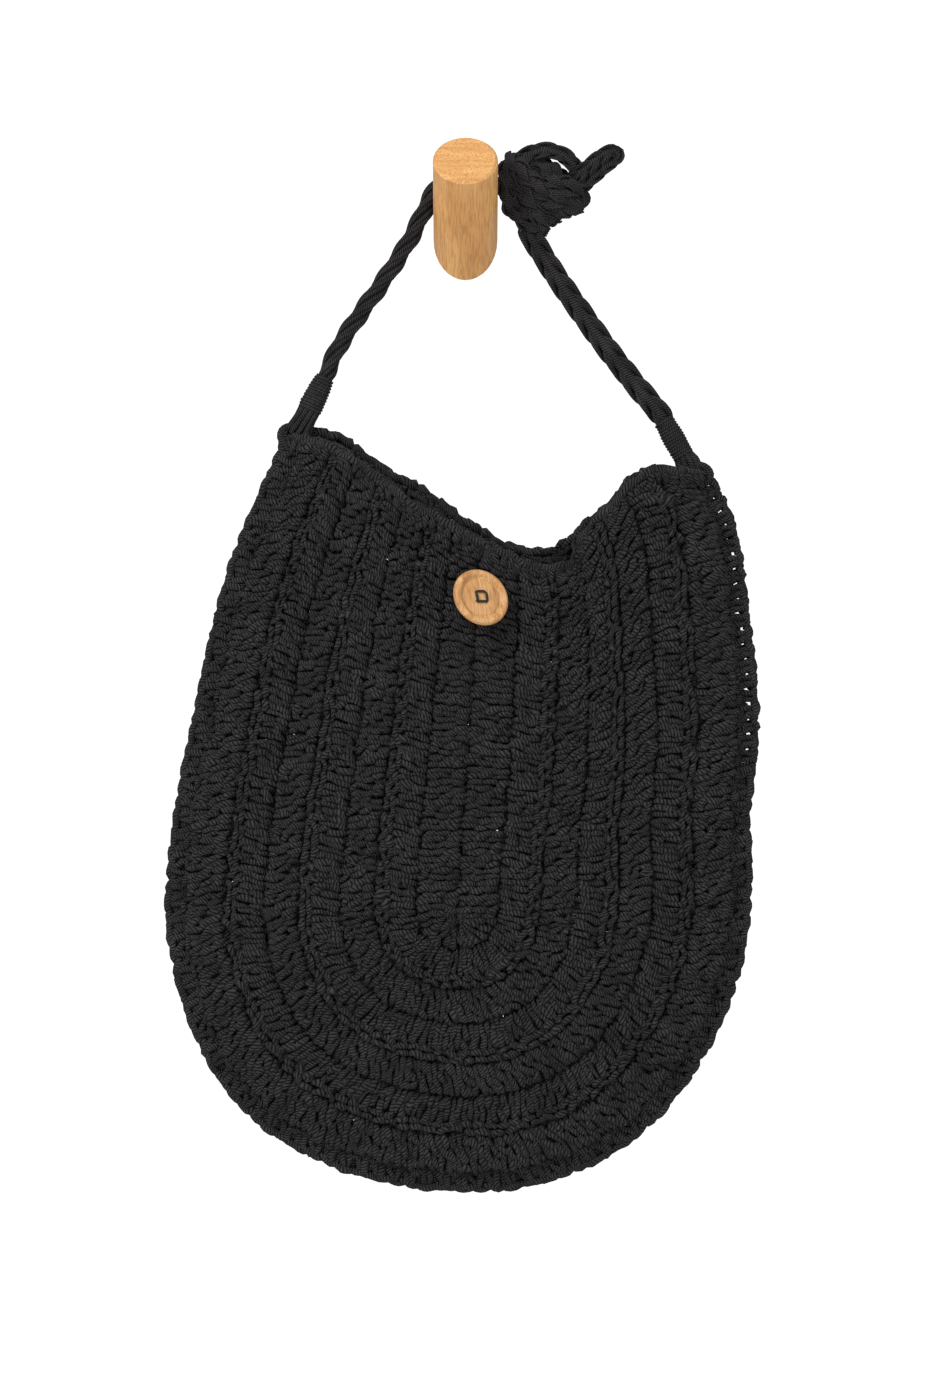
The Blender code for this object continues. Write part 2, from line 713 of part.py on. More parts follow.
def strap_end(side, far_end, bows, base_diameter, flat_on_wall, route, rooms, look):
    """The wrapped end at one corner and the braid that runs from it. route turns a far end into the way on."""
    name = side_name(side)
    foot = corner(side)
    run = bowed(foot, far_end, bows, 24)
    top = foot + (run[5] - foot).normalized() * WRAP_LENGTH
    direction = (top - foot).normalized()
    wrapped = wrap(f"{name}_wrap", foot, direction, base_diameter, 0.0, look)
    for room in rooms:
        cut(wrapped, room)
    inside = top - direction * BRAID_TUCK
    rest = [point for point in run if (point - foot).dot(direction) > WRAP_LENGTH + BRAID_TUCK]
    made = braid(f"{name}_braid", [inside, *rest, *route], flat_on_wall, look)
    cut(made, wrap(f"{name}_wrap_room", foot, direction, base_diameter, GAP, look))
    return made


def button_frame():
    """The button's own axes as a matrix, its back at the local origin and its face, looking aside, along local Z."""
    across = Vector((0.0, 0.0, 1.0)).cross(-BUTTON_FACING).normalized()
    upward = (-BUTTON_FACING).cross(across).normalized()
    foot = front_point(*BUTTON_FOOT)
    place = foot + BUTTON_FACING * (PANEL_THICKNESS / 2) + Vector((0.0, -BUTTON_STAND_OFF, 0.0))
    turn = Matrix((across, upward, BUTTON_FACING)).transposed().to_4x4()
    return Matrix.Translation(place) @ turn


def hole_places():
    half = BUTTON_HOLE_SPACING / 2
    return [Vector((x, y, 0.0)) for x in (-half, half) for y in (-half, half)]


def button(look):
    """A turned disc with a round rim and a shallow floor, drilled with four holes."""
    across = Vector((1.0, 0.0, 0.0))
    upward = Vector((0.0, 1.0, 0.0))
    rings = []
    for turn in BUTTON_SECTION:
        centre = Vector((0.0, 0.0, turn.height * BUTTON_THICKNESS))
        radius = turn.radius * BUTTON_DIAMETER / 2
        rings.append(ring(centre, across, radius, upward, radius, BUTTON_SIDES))
    made = loft("button", rings, look)
    made.matrix_world = button_frame()
    radius = BUTTON_HOLE_DIAMETER / 2
    for k, place in enumerate(hole_places()):
        ends = [place + Vector((0.0, 0.0, height)) for height in (-BUTTON_THICKNESS, 2 * BUTTON_THICKNESS)]
        drill = loft(f"hole_{k + 1}", [ring(end, across, radius, upward, radius, 12) for end in ends], look)
        drill.matrix_world = button_frame()
        cut(made, drill)
    return made


def button_thread(front, look):
    """A square of thread on the button's floor with four legs through the holes down to the crochet."""
    frame = button_frame()
    sheet = bmesh.new()
    sheet.from_mesh(front.data)
    tree = BVHTree.FromBMesh(sheet)
    half_spacing = BUTTON_HOLE_SPACING / 2
    half = THREAD_WIDTH / 2
    lines = [-half_spacing - half, -half_spacing + half, half_spacing - half, half_spacing + half]
    low = BUTTON_THICKNESS - BUTTON_FLOOR_DEPTH + GAP
    high = low + THREAD_THICKNESS
    backward = frame.to_3x3() @ Vector((0.0, 0.0, -1.0))
    bm = bmesh.new()
    bottom = [[bm.verts.new(Vector((x, y, low))) for y in lines] for x in lines]
    top = [[bm.verts.new(Vector((x, y, high))) for y in lines] for x in lines]
    cells = [(i, j) for i in range(3) for j in range(3) if (i, j) != (1, 1)]
    for i, j in cells:
        square = [(i, j), (i + 1, j), (i + 1, j + 1), (i, j + 1)]
        bm.faces.new([top[a][b] for a, b in square])
        for (a, b), (c, d), (di, dj) in zip(
            square, square[1:] + square[:1], [(0, -1), (1, 0), (0, 1), (-1, 0)]
        ):
            if (i + di, j + dj) not in cells:
                bm.faces.new([bottom[a][b], bottom[c][d], top[c][d], top[a][b]])
        if i == 1 or j == 1:
            bm.faces.new([bottom[a][b] for a, b in reversed(square)])
            continue
        feet = []
        for a, b in square:
            start = frame @ bottom[a][b].co
            hit = tree.ray_cast(start, backward)[0]
            drop = (hit - start).length - GAP
            feet.append(bm.verts.new(bottom[a][b].co - Vector((0.0, 0.0, drop))))
        bm.faces.new(list(reversed(feet)))
        for k in range(4):
            a, b = square[k]
            c, d = square[(k + 1) % 4]
            bm.faces.new([feet[k], feet[(k + 1) % 4], bottom[c][d], bottom[a][b]])
    sheet.free()
    made = finish("button_thread", bm, look)
    made.matrix_world = frame
    return made


clear_scene()

peg_wood = material("peg_beech", (0.60, 0.36, 0.17), 0.55)
button_wood = material("button_wood", (0.72, 0.47, 0.24), 0.45)
yarn = material("black_yarn", (0.012, 0.012, 0.013), 0.92)
thread = material("black_thread", (0.008, 0.008, 0.009), 0.80)

wall_peg(peg_wood)

# Bag
front_sheet = sheet(front_point, -BACKWARD)
back_sheet = sheet(back_point, BACKWARD)
front_panel = finish("front_panel", thicken(front_sheet, Part.PANEL), yarn)
finish("back_panel", thicken(back_sheet, Part.PANEL), yarn)
finish("front_rim", thicken(front_sheet, Part.RIM), yarn)
finish("back_rim", thicken(back_sheet, Part.RIM), yarn)
edging("edging", 0.0, yarn)
corner_rooms = [
    finish("front_rim_room", thicken(front_sheet, Part.RIM, GAP), yarn),
    finish("back_rim_room", thicken(back_sheet, Part.RIM, GAP), yarn),
    edging("edging_room", GAP, yarn),
]
front_sheet.free()
back_sheet.free()

# Button
button(button_wood)
button_thread(front_panel, thread)

# Knot
knot_body("knot_body", 0.0, yarn)
knot_cutter = knot_body("knot_body_room", GAP, yarn)
loop_cutter = knot_loop("knot_loop_room", GAP, yarn)
cut(knot_loop("knot_loop", 0.0, yarn), knot_cutter)
tail = knot_tail(yarn)
cut(tail, knot_cutter)
cut(tail, loop_cutter)

# Strap: wrapped ends on the corners, the left braid over the peg into the knot, the right braid out of its foot
over = over_the_peg(corner(-1))
left_braid = strap_end(-1, over[0], LEFT_BOW, LEFT_WRAP_DIAMETER, False, over[1:], corner_rooms, yarn)
cut(left_braid, knot_cutter)
knot_foot = knot_place(BRAID_OUT_OF_KNOT)
right_braid = strap_end(1, knot_foot, RIGHT_BOW, RIGHT_WRAP_DIAMETER, True, [], corner_rooms, yarn)
cut(right_braid, knot_cutter)
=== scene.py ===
import math
from collections import namedtuple
from itertools import product

import bmesh
import bpy
import numpy as np
from mathutils import Matrix, Vector


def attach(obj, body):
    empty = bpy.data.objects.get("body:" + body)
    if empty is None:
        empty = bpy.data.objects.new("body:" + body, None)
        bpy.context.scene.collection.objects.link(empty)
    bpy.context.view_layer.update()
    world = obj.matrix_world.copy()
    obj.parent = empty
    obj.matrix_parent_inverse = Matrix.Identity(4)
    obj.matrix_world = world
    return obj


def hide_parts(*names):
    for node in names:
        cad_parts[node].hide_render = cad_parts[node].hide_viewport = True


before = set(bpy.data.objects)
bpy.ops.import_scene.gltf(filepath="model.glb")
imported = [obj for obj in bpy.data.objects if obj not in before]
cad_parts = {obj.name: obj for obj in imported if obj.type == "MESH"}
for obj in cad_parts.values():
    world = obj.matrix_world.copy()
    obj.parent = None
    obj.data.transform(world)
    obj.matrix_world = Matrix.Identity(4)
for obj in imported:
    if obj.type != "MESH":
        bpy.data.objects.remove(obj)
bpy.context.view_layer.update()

# Camera
# It looks straight at the wall from about two steps away, level with the bag's upper part.
CAMERA_PLACE = (0.00094, -1.80, -0.216)
CAMERA_LENS = 147.5
camera_data = bpy.data.cameras.new("camera")
camera_data.sensor_fit = "HORIZONTAL"
camera_data.sensor_width = 36.0
camera_data.lens = CAMERA_LENS
camera_data.clip_start = 0.05
camera_data.clip_end = 60.0
camera = bpy.data.objects.new("camera", camera_data)
camera.location = CAMERA_PLACE
camera.rotation_euler = (math.pi / 2, 0.0, 0.0)
bpy.context.scene.collection.objects.link(camera)
bpy.context.scene.camera = camera

# Studio
# A plain pale floor well below the bag, white surroundings and two large soft lamps, the stronger one
# high on the left.
FLOOR_LEVEL = -0.62
FLOOR_RADIUS = 0.95
FLOOR_MIDDLE = -0.60
FLOOR_COLOUR = (0.90, 0.90, 0.895)
FLOOR_ROUGHNESS = 0.8
SURROUND_SEEN = 1.1
SURROUND_LIGHT = 0.55
KEY_LAMP = {"place": (-1.1, -1.5, 1.0), "size": 0.8, "power": 30.0}
FILL_LAMP = {"place": (1.3, -1.7, 0.1), "size": 1.2, "power": 9.0}
LAMP_AIM = Vector((0.0, 0.0, -0.20))

bpy.context.scene.view_settings.view_transform = "Standard"
world = bpy.data.worlds.new("studio")
world.use_nodes = True
surround = world.node_tree.nodes["Background"]
surround.inputs["Color"].default_value = (1.0, 1.0, 1.0, 1.0)
ray = world.node_tree.nodes.new("ShaderNodeLightPath")
strength = world.node_tree.nodes.new("ShaderNodeMath")
strength.operation = "MULTIPLY_ADD"
strength.inputs[1].default_value = SURROUND_SEEN - SURROUND_LIGHT
strength.inputs[2].default_value = SURROUND_LIGHT
world.node_tree.links.new(ray.outputs["Is Camera Ray"], strength.inputs[0])
world.node_tree.links.new(strength.outputs[0], surround.inputs["Strength"])
bpy.context.scene.world = world

for name, lamp in (("key_lamp", KEY_LAMP), ("fill_lamp", FILL_LAMP)):
    light = bpy.data.lights.new(name, "AREA")
    light.shape = "DISK"
    light.size = lamp["size"]
    light.energy = lamp["power"]
    lit = bpy.data.objects.new(name, light)
    lit.location = lamp["place"]
    lit.rotation_euler = (LAMP_AIM - Vector(lamp["place"])).to_track_quat("-Z", "Y").to_euler()
    bpy.context.scene.collection.objects.link(lit)


def plain_material(name, colour, roughness):
    """A material of one colour, with its node tree and its shader."""
    made = bpy.data.materials.new(name)
    made.use_nodes = True
    shader = made.node_tree.nodes["Principled BSDF"]
    shader.inputs["Base Color"].default_value = (*colour, 1.0)
    shader.inputs["Roughness"].default_value = roughness
    return made, made.node_tree, shader


def finish(name, bm, look):
    """Turns a bmesh into a piece at the origin; the faces of strands are turned outward."""
    if bm.loops.layers.uv.get("yarn"):
        bmesh.ops.recalc_face_normals(bm, faces=bm.faces)
    mesh = bpy.data.meshes.new(name)
    bm.to_mesh(mesh)
    bm.free()
    mesh.shade_smooth()
    made = bpy.data.objects.new(name, mesh)
    made.data.materials.append(look)
    bpy.context.scene.collection.objects.link(made)
    return made


floor_paint = plain_material("floor_paint", FLOOR_COLOUR, FLOOR_ROUGHNESS)[0]
bm = bmesh.new()
bmesh.ops.create_circle(bm, cap_ends=True, segments=96, radius=FLOOR_RADIUS)
bmesh.ops.translate(bm, verts=bm.verts, vec=(0.0, FLOOR_MIDDLE, FLOOR_LEVEL))
floor = finish("floor", bm, floor_paint)

# Wall peg
# A beech dowel, cut flush to the wall behind and square in front with a slightly eased edge. Its growth
# layers lie across its front face and run down its sides, with the short dark flecks of beech.
PEG_TILT = math.radians(37.0)
PEG_LOOK = {
    "light": (0.80, 0.440, 0.155),
    "dark": (0.68, 0.325, 0.105),
    "fleck": (0.44, 0.185, 0.050),
    "layers": 420.0,
    "flecks": 1500.0,
    "roughness": 0.50,
}

# How layers and flecks are drawn out, at which levels of noise they change, and how strong the flecks are
LAYER_STRETCH = Vector((0.10, 1.0, 0.035))
FLECK_STRETCH = Vector((1.0, 1.0, 0.08))
LAYER_LEVELS = (0.36, 0.62)
FLECK_LEVELS = (0.46, 0.62)
FLECK_WEIGHT = 0.6


def add_node(tree, kind, **settings):
    """A node with its settings; a setting whose name is an input's goes to that input."""
    node = tree.nodes.new(kind)
    for name, value in settings.items():
        if hasattr(node, name):
            setattr(node, name, value)
        else:
            node.inputs[name.replace("_", " ")].default_value = value
    return node


def mapped_object(tree, turn, scale):
    """Object coordinates, turned and then stretched."""
    place = add_node(tree, "ShaderNodeTexCoord")
    turned = add_node(tree, "ShaderNodeMapping", vector_type="POINT")
    turned.inputs["Rotation"].default_value = turn
    stretched = add_node(tree, "ShaderNodeMapping", vector_type="POINT")
    stretched.inputs["Scale"].default_value = scale
    tree.links.new(place.outputs["Object"], turned.inputs["Vector"])
    tree.links.new(turned.outputs["Vector"], stretched.inputs["Vector"])
    return stretched.outputs["Vector"]


def ramp(tree, source, levels, colours):
    """A colour ramp between two levels of its source."""
    made = add_node(tree, "ShaderNodeValToRGB")
    for element, level, colour in zip(made.color_ramp.elements, levels, colours):
        element.position = level
        element.color = (*colour, 1.0)
    tree.links.new(source, made.inputs["Fac"])
    return made.outputs["Color"]


def wood(name, turn, light, dark, fleck, layers, flecks, roughness):
    """Fine wood with its grain along the turned Z axis and its layers stacked along the turned Y axis."""
    made, tree, shader = plain_material(name, light, roughness)
    layer = add_node(tree, "ShaderNodeTexNoise", Scale=1.0, Detail=3.0, Roughness=0.55)
    tree.links.new(mapped_object(tree, turn, layers * LAYER_STRETCH), layer.inputs["Vector"])
    ground = ramp(tree, layer.outputs["Fac"], LAYER_LEVELS, (dark, light))
    dash = add_node(tree, "ShaderNodeTexNoise", Scale=1.0, Detail=2.0, Roughness=0.5)
    tree.links.new(mapped_object(tree, turn, flecks * FLECK_STRETCH), dash.inputs["Vector"])
    marks = ramp(tree, dash.outputs["Fac"], FLECK_LEVELS, ((0.0,) * 3, (1.0,) * 3))
    mixed = add_node(tree, "ShaderNodeMix", data_type="RGBA")
    weakened = add_node(tree, "ShaderNodeMath", operation="MULTIPLY")
    weakened.inputs[1].default_value = FLECK_WEIGHT
    tree.links.new(marks, weakened.inputs[0])
    tree.links.new(weakened.outputs[0], mixed.inputs["Factor"])
    tree.links.new(ground, mixed.inputs["A"])
    mixed.inputs["B"].default_value = (*fleck, 1.0)
    tree.links.new(mixed.outputs["Result"], shader.inputs["Base Color"])
    relief = add_node(tree, "ShaderNodeBump", Strength=0.25, Distance=0.0002)
    relief.invert = True
    tree.links.new(marks, relief.inputs["Height"])
    tree.links.new(relief.outputs["Normal"], shader.inputs["Normal"])
    return made


peg_wood = wood("peg_beech", (PEG_TILT - math.pi / 2, 0.0, 0.0), **PEG_LOOK)
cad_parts["wall_peg"].data.materials.clear()
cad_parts["wall_peg"].data.materials.append(peg_wood)

# Yarn
# One black cotton yarn makes the bag and its strap: a few plies twisted into a cord, matt, with a soft
# dusty bloom on its raised fibres, and painted shade in the grooves between its plies. Every strand is a tube
# along its own path and carries its twist in its own coordinates. The strap's yarns are pulled tight, so
# their plies lie finer and flatter.
YARN_RADIUS = 0.00160
YARN_COLOUR = (0.0405, 0.0378, 0.0396)
# The darkest yarn colour: painted shade in the grooves between the plies, and the darker spots of the fibres
YARN_PLY_SHADE_AND_MOTTLE_COLOUR = (0.0030, 0.0028, 0.0029)
YARN_SHEEN = 0.03
YARN_SPECULAR = 0.08
PLY_COUNT = 3
PLY_SHADE_CONTRAST = 0.60
PLY_LEVELS = (0.58, 1.0)
FLUFF_SCALE = 1000.0
FLUFF_HEIGHT = 0.00012
PATCH_SCALE = 90.0
PATCH_CONTRAST = 1.4

# The length of yarn from one ply to the next, and how high each ply stands
LOOSE_PLIES = (0.00125, 0.0007)
TIGHT_PLIES = (0.0012, 0.0004)


def twist_wave(tree, spacing, starts):
    """A wave that winds round a strand."""
    spot = add_node(tree, "ShaderNodeUVMap", uv_map="yarn")
    twist = add_node(tree, "ShaderNodeVectorMath", operation="DOT_PRODUCT")
    twist.inputs[1].default_value = (math.pi / spacing, math.pi * starts, 0.0)
    tree.links.new(spot.outputs["UV"], twist.inputs[0])
    wave = add_node(tree, "ShaderNodeMath", operation="SINE")
    tree.links.new(twist.outputs["Value"], wave.inputs[0])
    return wave.outputs[0]


def yarn_material(name, ply_spacing, ply_height):
    """Matt yarn with painted shade between its plies, and with its fibres and bloom."""
    made, tree, shader = plain_material(name, YARN_COLOUR, 0.9)
    shader.inputs["Sheen Weight"].default_value = YARN_SHEEN
    shader.inputs["Sheen Roughness"].default_value = 0.45
    shader.inputs["Specular IOR Level"].default_value = YARN_SPECULAR
    plies = add_node(tree, "ShaderNodeMath", operation="ABSOLUTE")
    tree.links.new(twist_wave(tree, ply_spacing, PLY_COUNT), plies.inputs[0])
    fluff = add_node(tree, "ShaderNodeTexNoise", Scale=FLUFF_SCALE, Detail=4.0, Roughness=0.65)
    place = add_node(tree, "ShaderNodeTexCoord")
    tree.links.new(place.outputs["Object"], fluff.inputs["Vector"])
    patches = add_node(tree, "ShaderNodeTexNoise", Scale=PATCH_SCALE, Detail=3.0, Roughness=0.6)
    tree.links.new(place.outputs["Object"], patches.inputs["Vector"])
    # Painted shade: the colour falls to near-black in the grooves between the plies, and in spots where the
    # fibre noise is low
    shade = add_node(tree, "ShaderNodeMath", operation="MULTIPLY_ADD")
    tree.links.new(plies.outputs[0], shade.inputs[0])
    shade.inputs[1].default_value = PLY_SHADE_CONTRAST
    tree.links.new(fluff.outputs["Fac"], shade.inputs[2])
    tone = ramp(tree, shade.outputs[0], PLY_LEVELS, (YARN_PLY_SHADE_AND_MOTTLE_COLOUR, YARN_COLOUR))
    bloom = add_node(tree, "ShaderNodeMath", operation="MULTIPLY_ADD")
    tree.links.new(patches.outputs["Fac"], bloom.inputs[0])
    bloom.inputs[1].default_value = PATCH_CONTRAST
    bloom.inputs[2].default_value = 1.0 - PATCH_CONTRAST / 2
    toned = add_node(tree, "ShaderNodeVectorMath", operation="SCALE")
    tree.links.new(tone, toned.inputs[0])
    tree.links.new(bloom.outputs[0], toned.inputs["Scale"])
    tree.links.new(toned.outputs[0], shader.inputs["Base Color"])
    ply_relief = add_node(tree, "ShaderNodeBump", Strength=1.0, Distance=ply_height)
    tree.links.new(plies.outputs[0], ply_relief.inputs["Height"])
    fluff_relief = add_node(tree, "ShaderNodeBump", Strength=0.5, Distance=FLUFF_HEIGHT)
    tree.links.new(fluff.outputs["Fac"], fluff_relief.inputs["Height"])
    tree.links.new(ply_relief.outputs["Normal"], fluff_relief.inputs["Normal"])
    tree.links.new(fluff_relief.outputs["Normal"], shader.inputs["Normal"])
    return made


yarn = yarn_material("black_cotton_yarn", *LOOSE_PLIES)
tight_yarn = yarn_material("tight_black_yarn", *TIGHT_PLIES)
STRAND_END_SIZE = 0.6


def spline(points, count):
    """Evenly counted points on a smooth curve through a few points."""
    padded = [2 * points[0] - points[1], *points, 2 * points[-1] - points[-2]]
    path = []
    for k in range(count + 1):
        place = k / count * (len(points) - 1)
        i = min(int(place), len(points) - 2)
        t = place - i
        a, b, c, d = padded[i : i + 4]
        path.append(
            0.5 * (2 * b + (c - a) * t + (2 * a - 5 * b + 4 * c - d) * t**2 + (3 * b - a - 3 * c + d) * t**3)
        )
    return path


def headings(path):
    """The way in which a path runs at each of its points."""
    last = len(path) - 1
    return [(path[min(k + 1, last)] - path[max(k - 1, 0)]).normalized() for k in range(last + 1)]


def reached_along(path):
    """How far along a path each of its points lies."""
    reached = [0.0]
    for a, b in zip(path, path[1:]):
        reached.append(reached[-1] + (b - a).length)
    return reached


def lay_strand(bm, path, radius, sides=6):
    """One strand of yarn: a grid rolled into a tube along a path, with its ends drawn in and closed."""
    steps = len(path) - 1
    made = bmesh.ops.create_grid(bm, x_segments=steps, y_segments=sides, size=0.5)["verts"]
    uv = bm.loops.layers.uv.get("yarn") or bm.loops.layers.uv.new("yarn")
    reached = reached_along(path)
    for face in {face for vert in made for face in vert.link_faces}:
        for loop in face.loops:
            step = round((loop.vert.co.x + 0.5) * steps)
            loop[uv].uv = (reached[step], loop.vert.co.y + 0.5)
    side = (path[1] - path[0]).orthogonal().normalized()
    rings = []
    for k, (spot, ahead) in enumerate(zip(path, headings(path))):
        side = (side - ahead * side.dot(ahead)).normalized()
        size = radius * (STRAND_END_SIZE if k in (0, steps) else 1.0)
        rings.append((spot, side * size, ahead.cross(side) * size))
    for vert in made:
        spot, side, other = rings[round((vert.co.x + 0.5) * steps)]
        turn = 2 * math.pi * (vert.co.y + 0.5)
        vert.co = spot + side * math.cos(turn) + other * math.sin(turn)
    bmesh.ops.remove_doubles(bm, verts=made, dist=1e-7)
    loose = {edge for vert in made if vert.is_valid for edge in vert.link_edges if edge.is_boundary}
    bmesh.ops.holes_fill(bm, edges=list(loose), sides=sides)


# Bag front and back
# Each wall is crocheted in seven rows that start on a chain down its middle and turn round its foot in a U.
# The rows are worked to and fro, so stitches that lean one way take turns with ones that lean the other way
# and show their chain.
HALF_WIDTH = 0.1376
LEFT_HEIGHT = 0.2221
RIGHT_HEIGHT = 0.2030
FRONT_MIDDLE_HEIGHT = 0.1737
BACK_MIDDLE_HEIGHT = 0.1764
ROUND_DROP = 0.3130
ROUND_SHIFT = -0.0040
SEAM_FROM_WALL = 0.0140
PANEL_THICKNESS = 0.0055
GAP = 0.0003
BELLY_DEPTH = 0.0170
BELLY_ROUNDNESS = 0.8
BELLY_FLATTENING = 0.25
MOUTH_DEPTH = 0.0220
BACK_DEPTH = 0.0055
RIM_HEIGHT = 0.0068
EDGING_WIDTH = 0.0125

# Share of the side's height, then half widths as shares of HALF_WIDTH
SIDE_OUTLINE = [
    (0.00, 0.992, 1.000),
    (0.10, 0.981, 1.003),
    (0.20, 0.961, 0.997),
    (0.30, 0.934, 1.012),
    (0.40, 0.898, 1.026),
    (0.50, 0.868, 1.022),
    (0.60, 0.831, 1.007),
    (0.70, 0.786, 0.989),
    (0.80, 0.727, 0.970),
    (0.87, 0.675, 0.946),
    (0.92, 0.641, 0.917),
    (0.96, 0.610, 0.880),
    (1.00, 0.597, 0.851),
]

# Share of the quarter turn round the foot, then radii as shares of HALF_WIDTH
ROUND_OUTLINE = [
    (0.00, 0.992, 1.000),
    (0.14, 0.985, 0.986),
    (0.32, 0.996, 0.980),
    (0.48, 1.001, 0.987),
    (0.62, 0.987, 0.990),
    (0.74, 0.973, 0.985),
    (0.87, 0.964, 0.975),
    (1.00, 0.963, 0.963),
]

# Share of the way from the mouth's middle to its corner, place across, height and depth
FRONT_MOUTH = {
    "left": [
        (0.000, -0.085, 0.000, 0.50), (0.190, 0.044, 0.202, 0.56), (0.336, 0.142, 0.362, 0.54),
        (0.555, 0.281, 0.642, 0.40), (0.764, 0.417, 0.894, 0.21), (0.917, 0.532, 0.973, 0.06),
        (1.000, 0.597, 1.000, 0.00),
    ],
    "right": [
        (0.000, 0.085, 0.000, 0.50), (0.100, 0.169, -0.200, 0.42), (0.197, 0.251, -0.390, 0.28),
        (0.258, 0.308, -0.400, 0.18), (0.337, 0.378, -0.337, 0.08), (0.376, 0.407, -0.226, 0.14),
        (0.423, 0.424, -0.025, 0.44), (0.480, 0.441, 0.217, 0.78), (0.523, 0.468, 0.376, 0.92),
        (0.616, 0.529, 0.654, 1.00), (0.724, 0.603, 0.972, 0.92), (0.796, 0.664, 1.090, 0.74),
        (0.857, 0.722, 1.090, 0.52), (0.928, 0.785, 1.048, 0.24), (1.000, 0.851, 1.000, 0.00),
    ],
}
BACK_MOUTH = {
    "left": [
        (0.000, -0.095, 0.000, 1.00), (0.158, 0.010, 0.203, 0.97), (0.300, 0.098, 0.407, 0.93),
        (0.479, 0.224, 0.611, 0.86), (0.628, 0.322, 0.815, 0.72), (0.782, 0.424, 1.010, 0.46),
        (0.876, 0.498, 1.030, 0.24), (1.000, 0.597, 1.000, 0.00),
    ],
    "right": [
        (0.000, 0.095, 0.000, 1.00), (0.134, 0.197, -0.267, 0.97), (0.205, 0.258, -0.328, 0.94),
        (0.283, 0.318, -0.320, 0.90), (0.380, 0.378, -0.129, 0.85), (0.488, 0.451, 0.229, 0.80),
        (0.677, 0.586, 0.702, 0.62), (0.830, 0.705, 1.010, 0.40), (0.930, 0.790, 1.045, 0.20),
        (1.000, 0.851, 1.000, 0.00),
    ],
}


def eased(table, share, column):
    """A smooth curve through one column of a table, by cubics that don't overshoot."""
    i = 0
    last = len(table) - 2
    while i < last and table[i + 1][0] <= share:
        i += 1

    def slope(k):
        return (table[k + 1][column] - table[k][column]) / (table[k + 1][0] - table[k][0])

    def tangent(k):
        if k in (0, last + 1):
            return slope(min(k, last))
        before, after = slope(k - 1), slope(k)
        return 0.0 if before * after <= 0.0 else 2.0 * before * after / (before + after)

    low, high = table[i], table[i + 1]
    width = high[0] - low[0]
    t = (min(max(share, low[0]), high[0]) - low[0]) / width
    return (
        low[column] * (2 * t**3 - 3 * t**2 + 1)
        + tangent(i) * width * (t**3 - 2 * t**2 + t)
        + high[column] * (3 * t**2 - 2 * t**3)
        + tangent(i + 1) * width * (t**3 - t**2)
    )


def flat_point(mouth, middle_height, side, out, v):
    """The wall laid flat as (x, z): out runs from the middle to the edge, v from 1 at the mouth to -1."""
    column = 1 if side < 0 else 2
    if v < 0.0:
        radius = out * HALF_WIDTH * eased(ROUND_OUTLINE, -v, column)
        turn = -v * math.pi / 2
        return side * radius * math.cos(turn), -radius * math.sin(turn)
    height = LEFT_HEIGHT if side < 0 else RIGHT_HEIGHT
    table = mouth["left" if side < 0 else "right"]

    def edge(share):
        return side * HALF_WIDTH * eased(SIDE_OUTLINE, share, column), height * share

    def rim(share):
        up = middle_height + (height - middle_height) * eased(table, share, 2)
        return side * HALF_WIDTH * eased(table, share, 1), up

    middle, corner, start = rim(0.0), edge(1.0), edge(0.0)
    here, there = edge(v), rim(out)
    point = []
    for i in range(2):
        ruled = (1 - out) * middle[i] * v + out * here[i]
        across = (1 - v) * start[i] * out + v * there[i]
        bilinear = out * (1 - v) * start[i] + (1 - out) * v * middle[i] + out * v * corner[i]
        point.append(ruled + across - bilinear)
    return point[0], point[1]


def belly(out, v):
    """How far a wall bulges, as a share of the most: less towards its edge and round its foot."""
    return max(1.0 - out**2, 0.0) ** BELLY_ROUNDNESS * (1.0 - BELLY_FLATTENING * max(-v, 0.0))


def front_point(side, out, v):
    """The middle of the front wall's thickness."""
    x, z = flat_point(FRONT_MOUTH, FRONT_MIDDLE_HEIGHT, side, out, v)
    deep = BELLY_DEPTH * belly(out, v)
    if v > 0.0:
        table = FRONT_MOUTH["left" if side < 0 else "right"]
        deep = (1 - v**2) * deep + v**2 * MOUTH_DEPTH * eased(table, out, 3)
    return Vector((ROUND_SHIFT + x, -SEAM_FROM_WALL - (PANEL_THICKNESS + GAP) / 2 - deep, z - ROUND_DROP))


def back_point(side, out, v):
    """The middle of the back wall's thickness."""
    x, z = flat_point(BACK_MOUTH, BACK_MIDDLE_HEIGHT, side, out, v)
    deep = belly(out, v)
    if v > 0.0:
        table = BACK_MOUTH["left" if side < 0 else "right"]
        deep = (1 - v) * deep + v * eased(table, out, 3)
    y = -SEAM_FROM_WALL + (PANEL_THICKNESS + GAP) / 2 + BACK_DEPTH * deep
    return Vector((ROUND_SHIFT + x, y, z - ROUND_DROP))


def span(curve, steps=24):
    """The length of a curve given over 0 to 1."""
    points = [curve(k / steps) for k in range(steps + 1)]
    return sum((points[k + 1] - points[k]).length for k in range(steps))


def u_stations(upper, lower):
    """Stations along a row: down the left side, round the foot and up the right side."""
    down = [(-1, 1.0 - k / upper) for k in range(upper)]
    left_round = [(-1, -k / lower) for k in range(lower)]
    right_round = [(1, -1.0 + k / lower) for k in range(lower)]
    up = [(1, k / upper) for k in range(upper + 1)]
    return down + left_round + right_round + up


# A cloth is a grid of places and of directions out of it, by station along it and line across it
Cloth = namedtuple("Cloth", "spots facings")
LINES_A_ROW = 6
ROW_COUNT = 7
ROW_TUCK = 0.0030
WALL_STATIONS = (40, 36)
TOP_MARKS = 16
WANDER_CELL = np.array((0.0040, 0.0045, 0.0024))

# A row's stitches are counted on a line outside its middle, where a round row has its increases
COUNTING_SHARE = 0.7


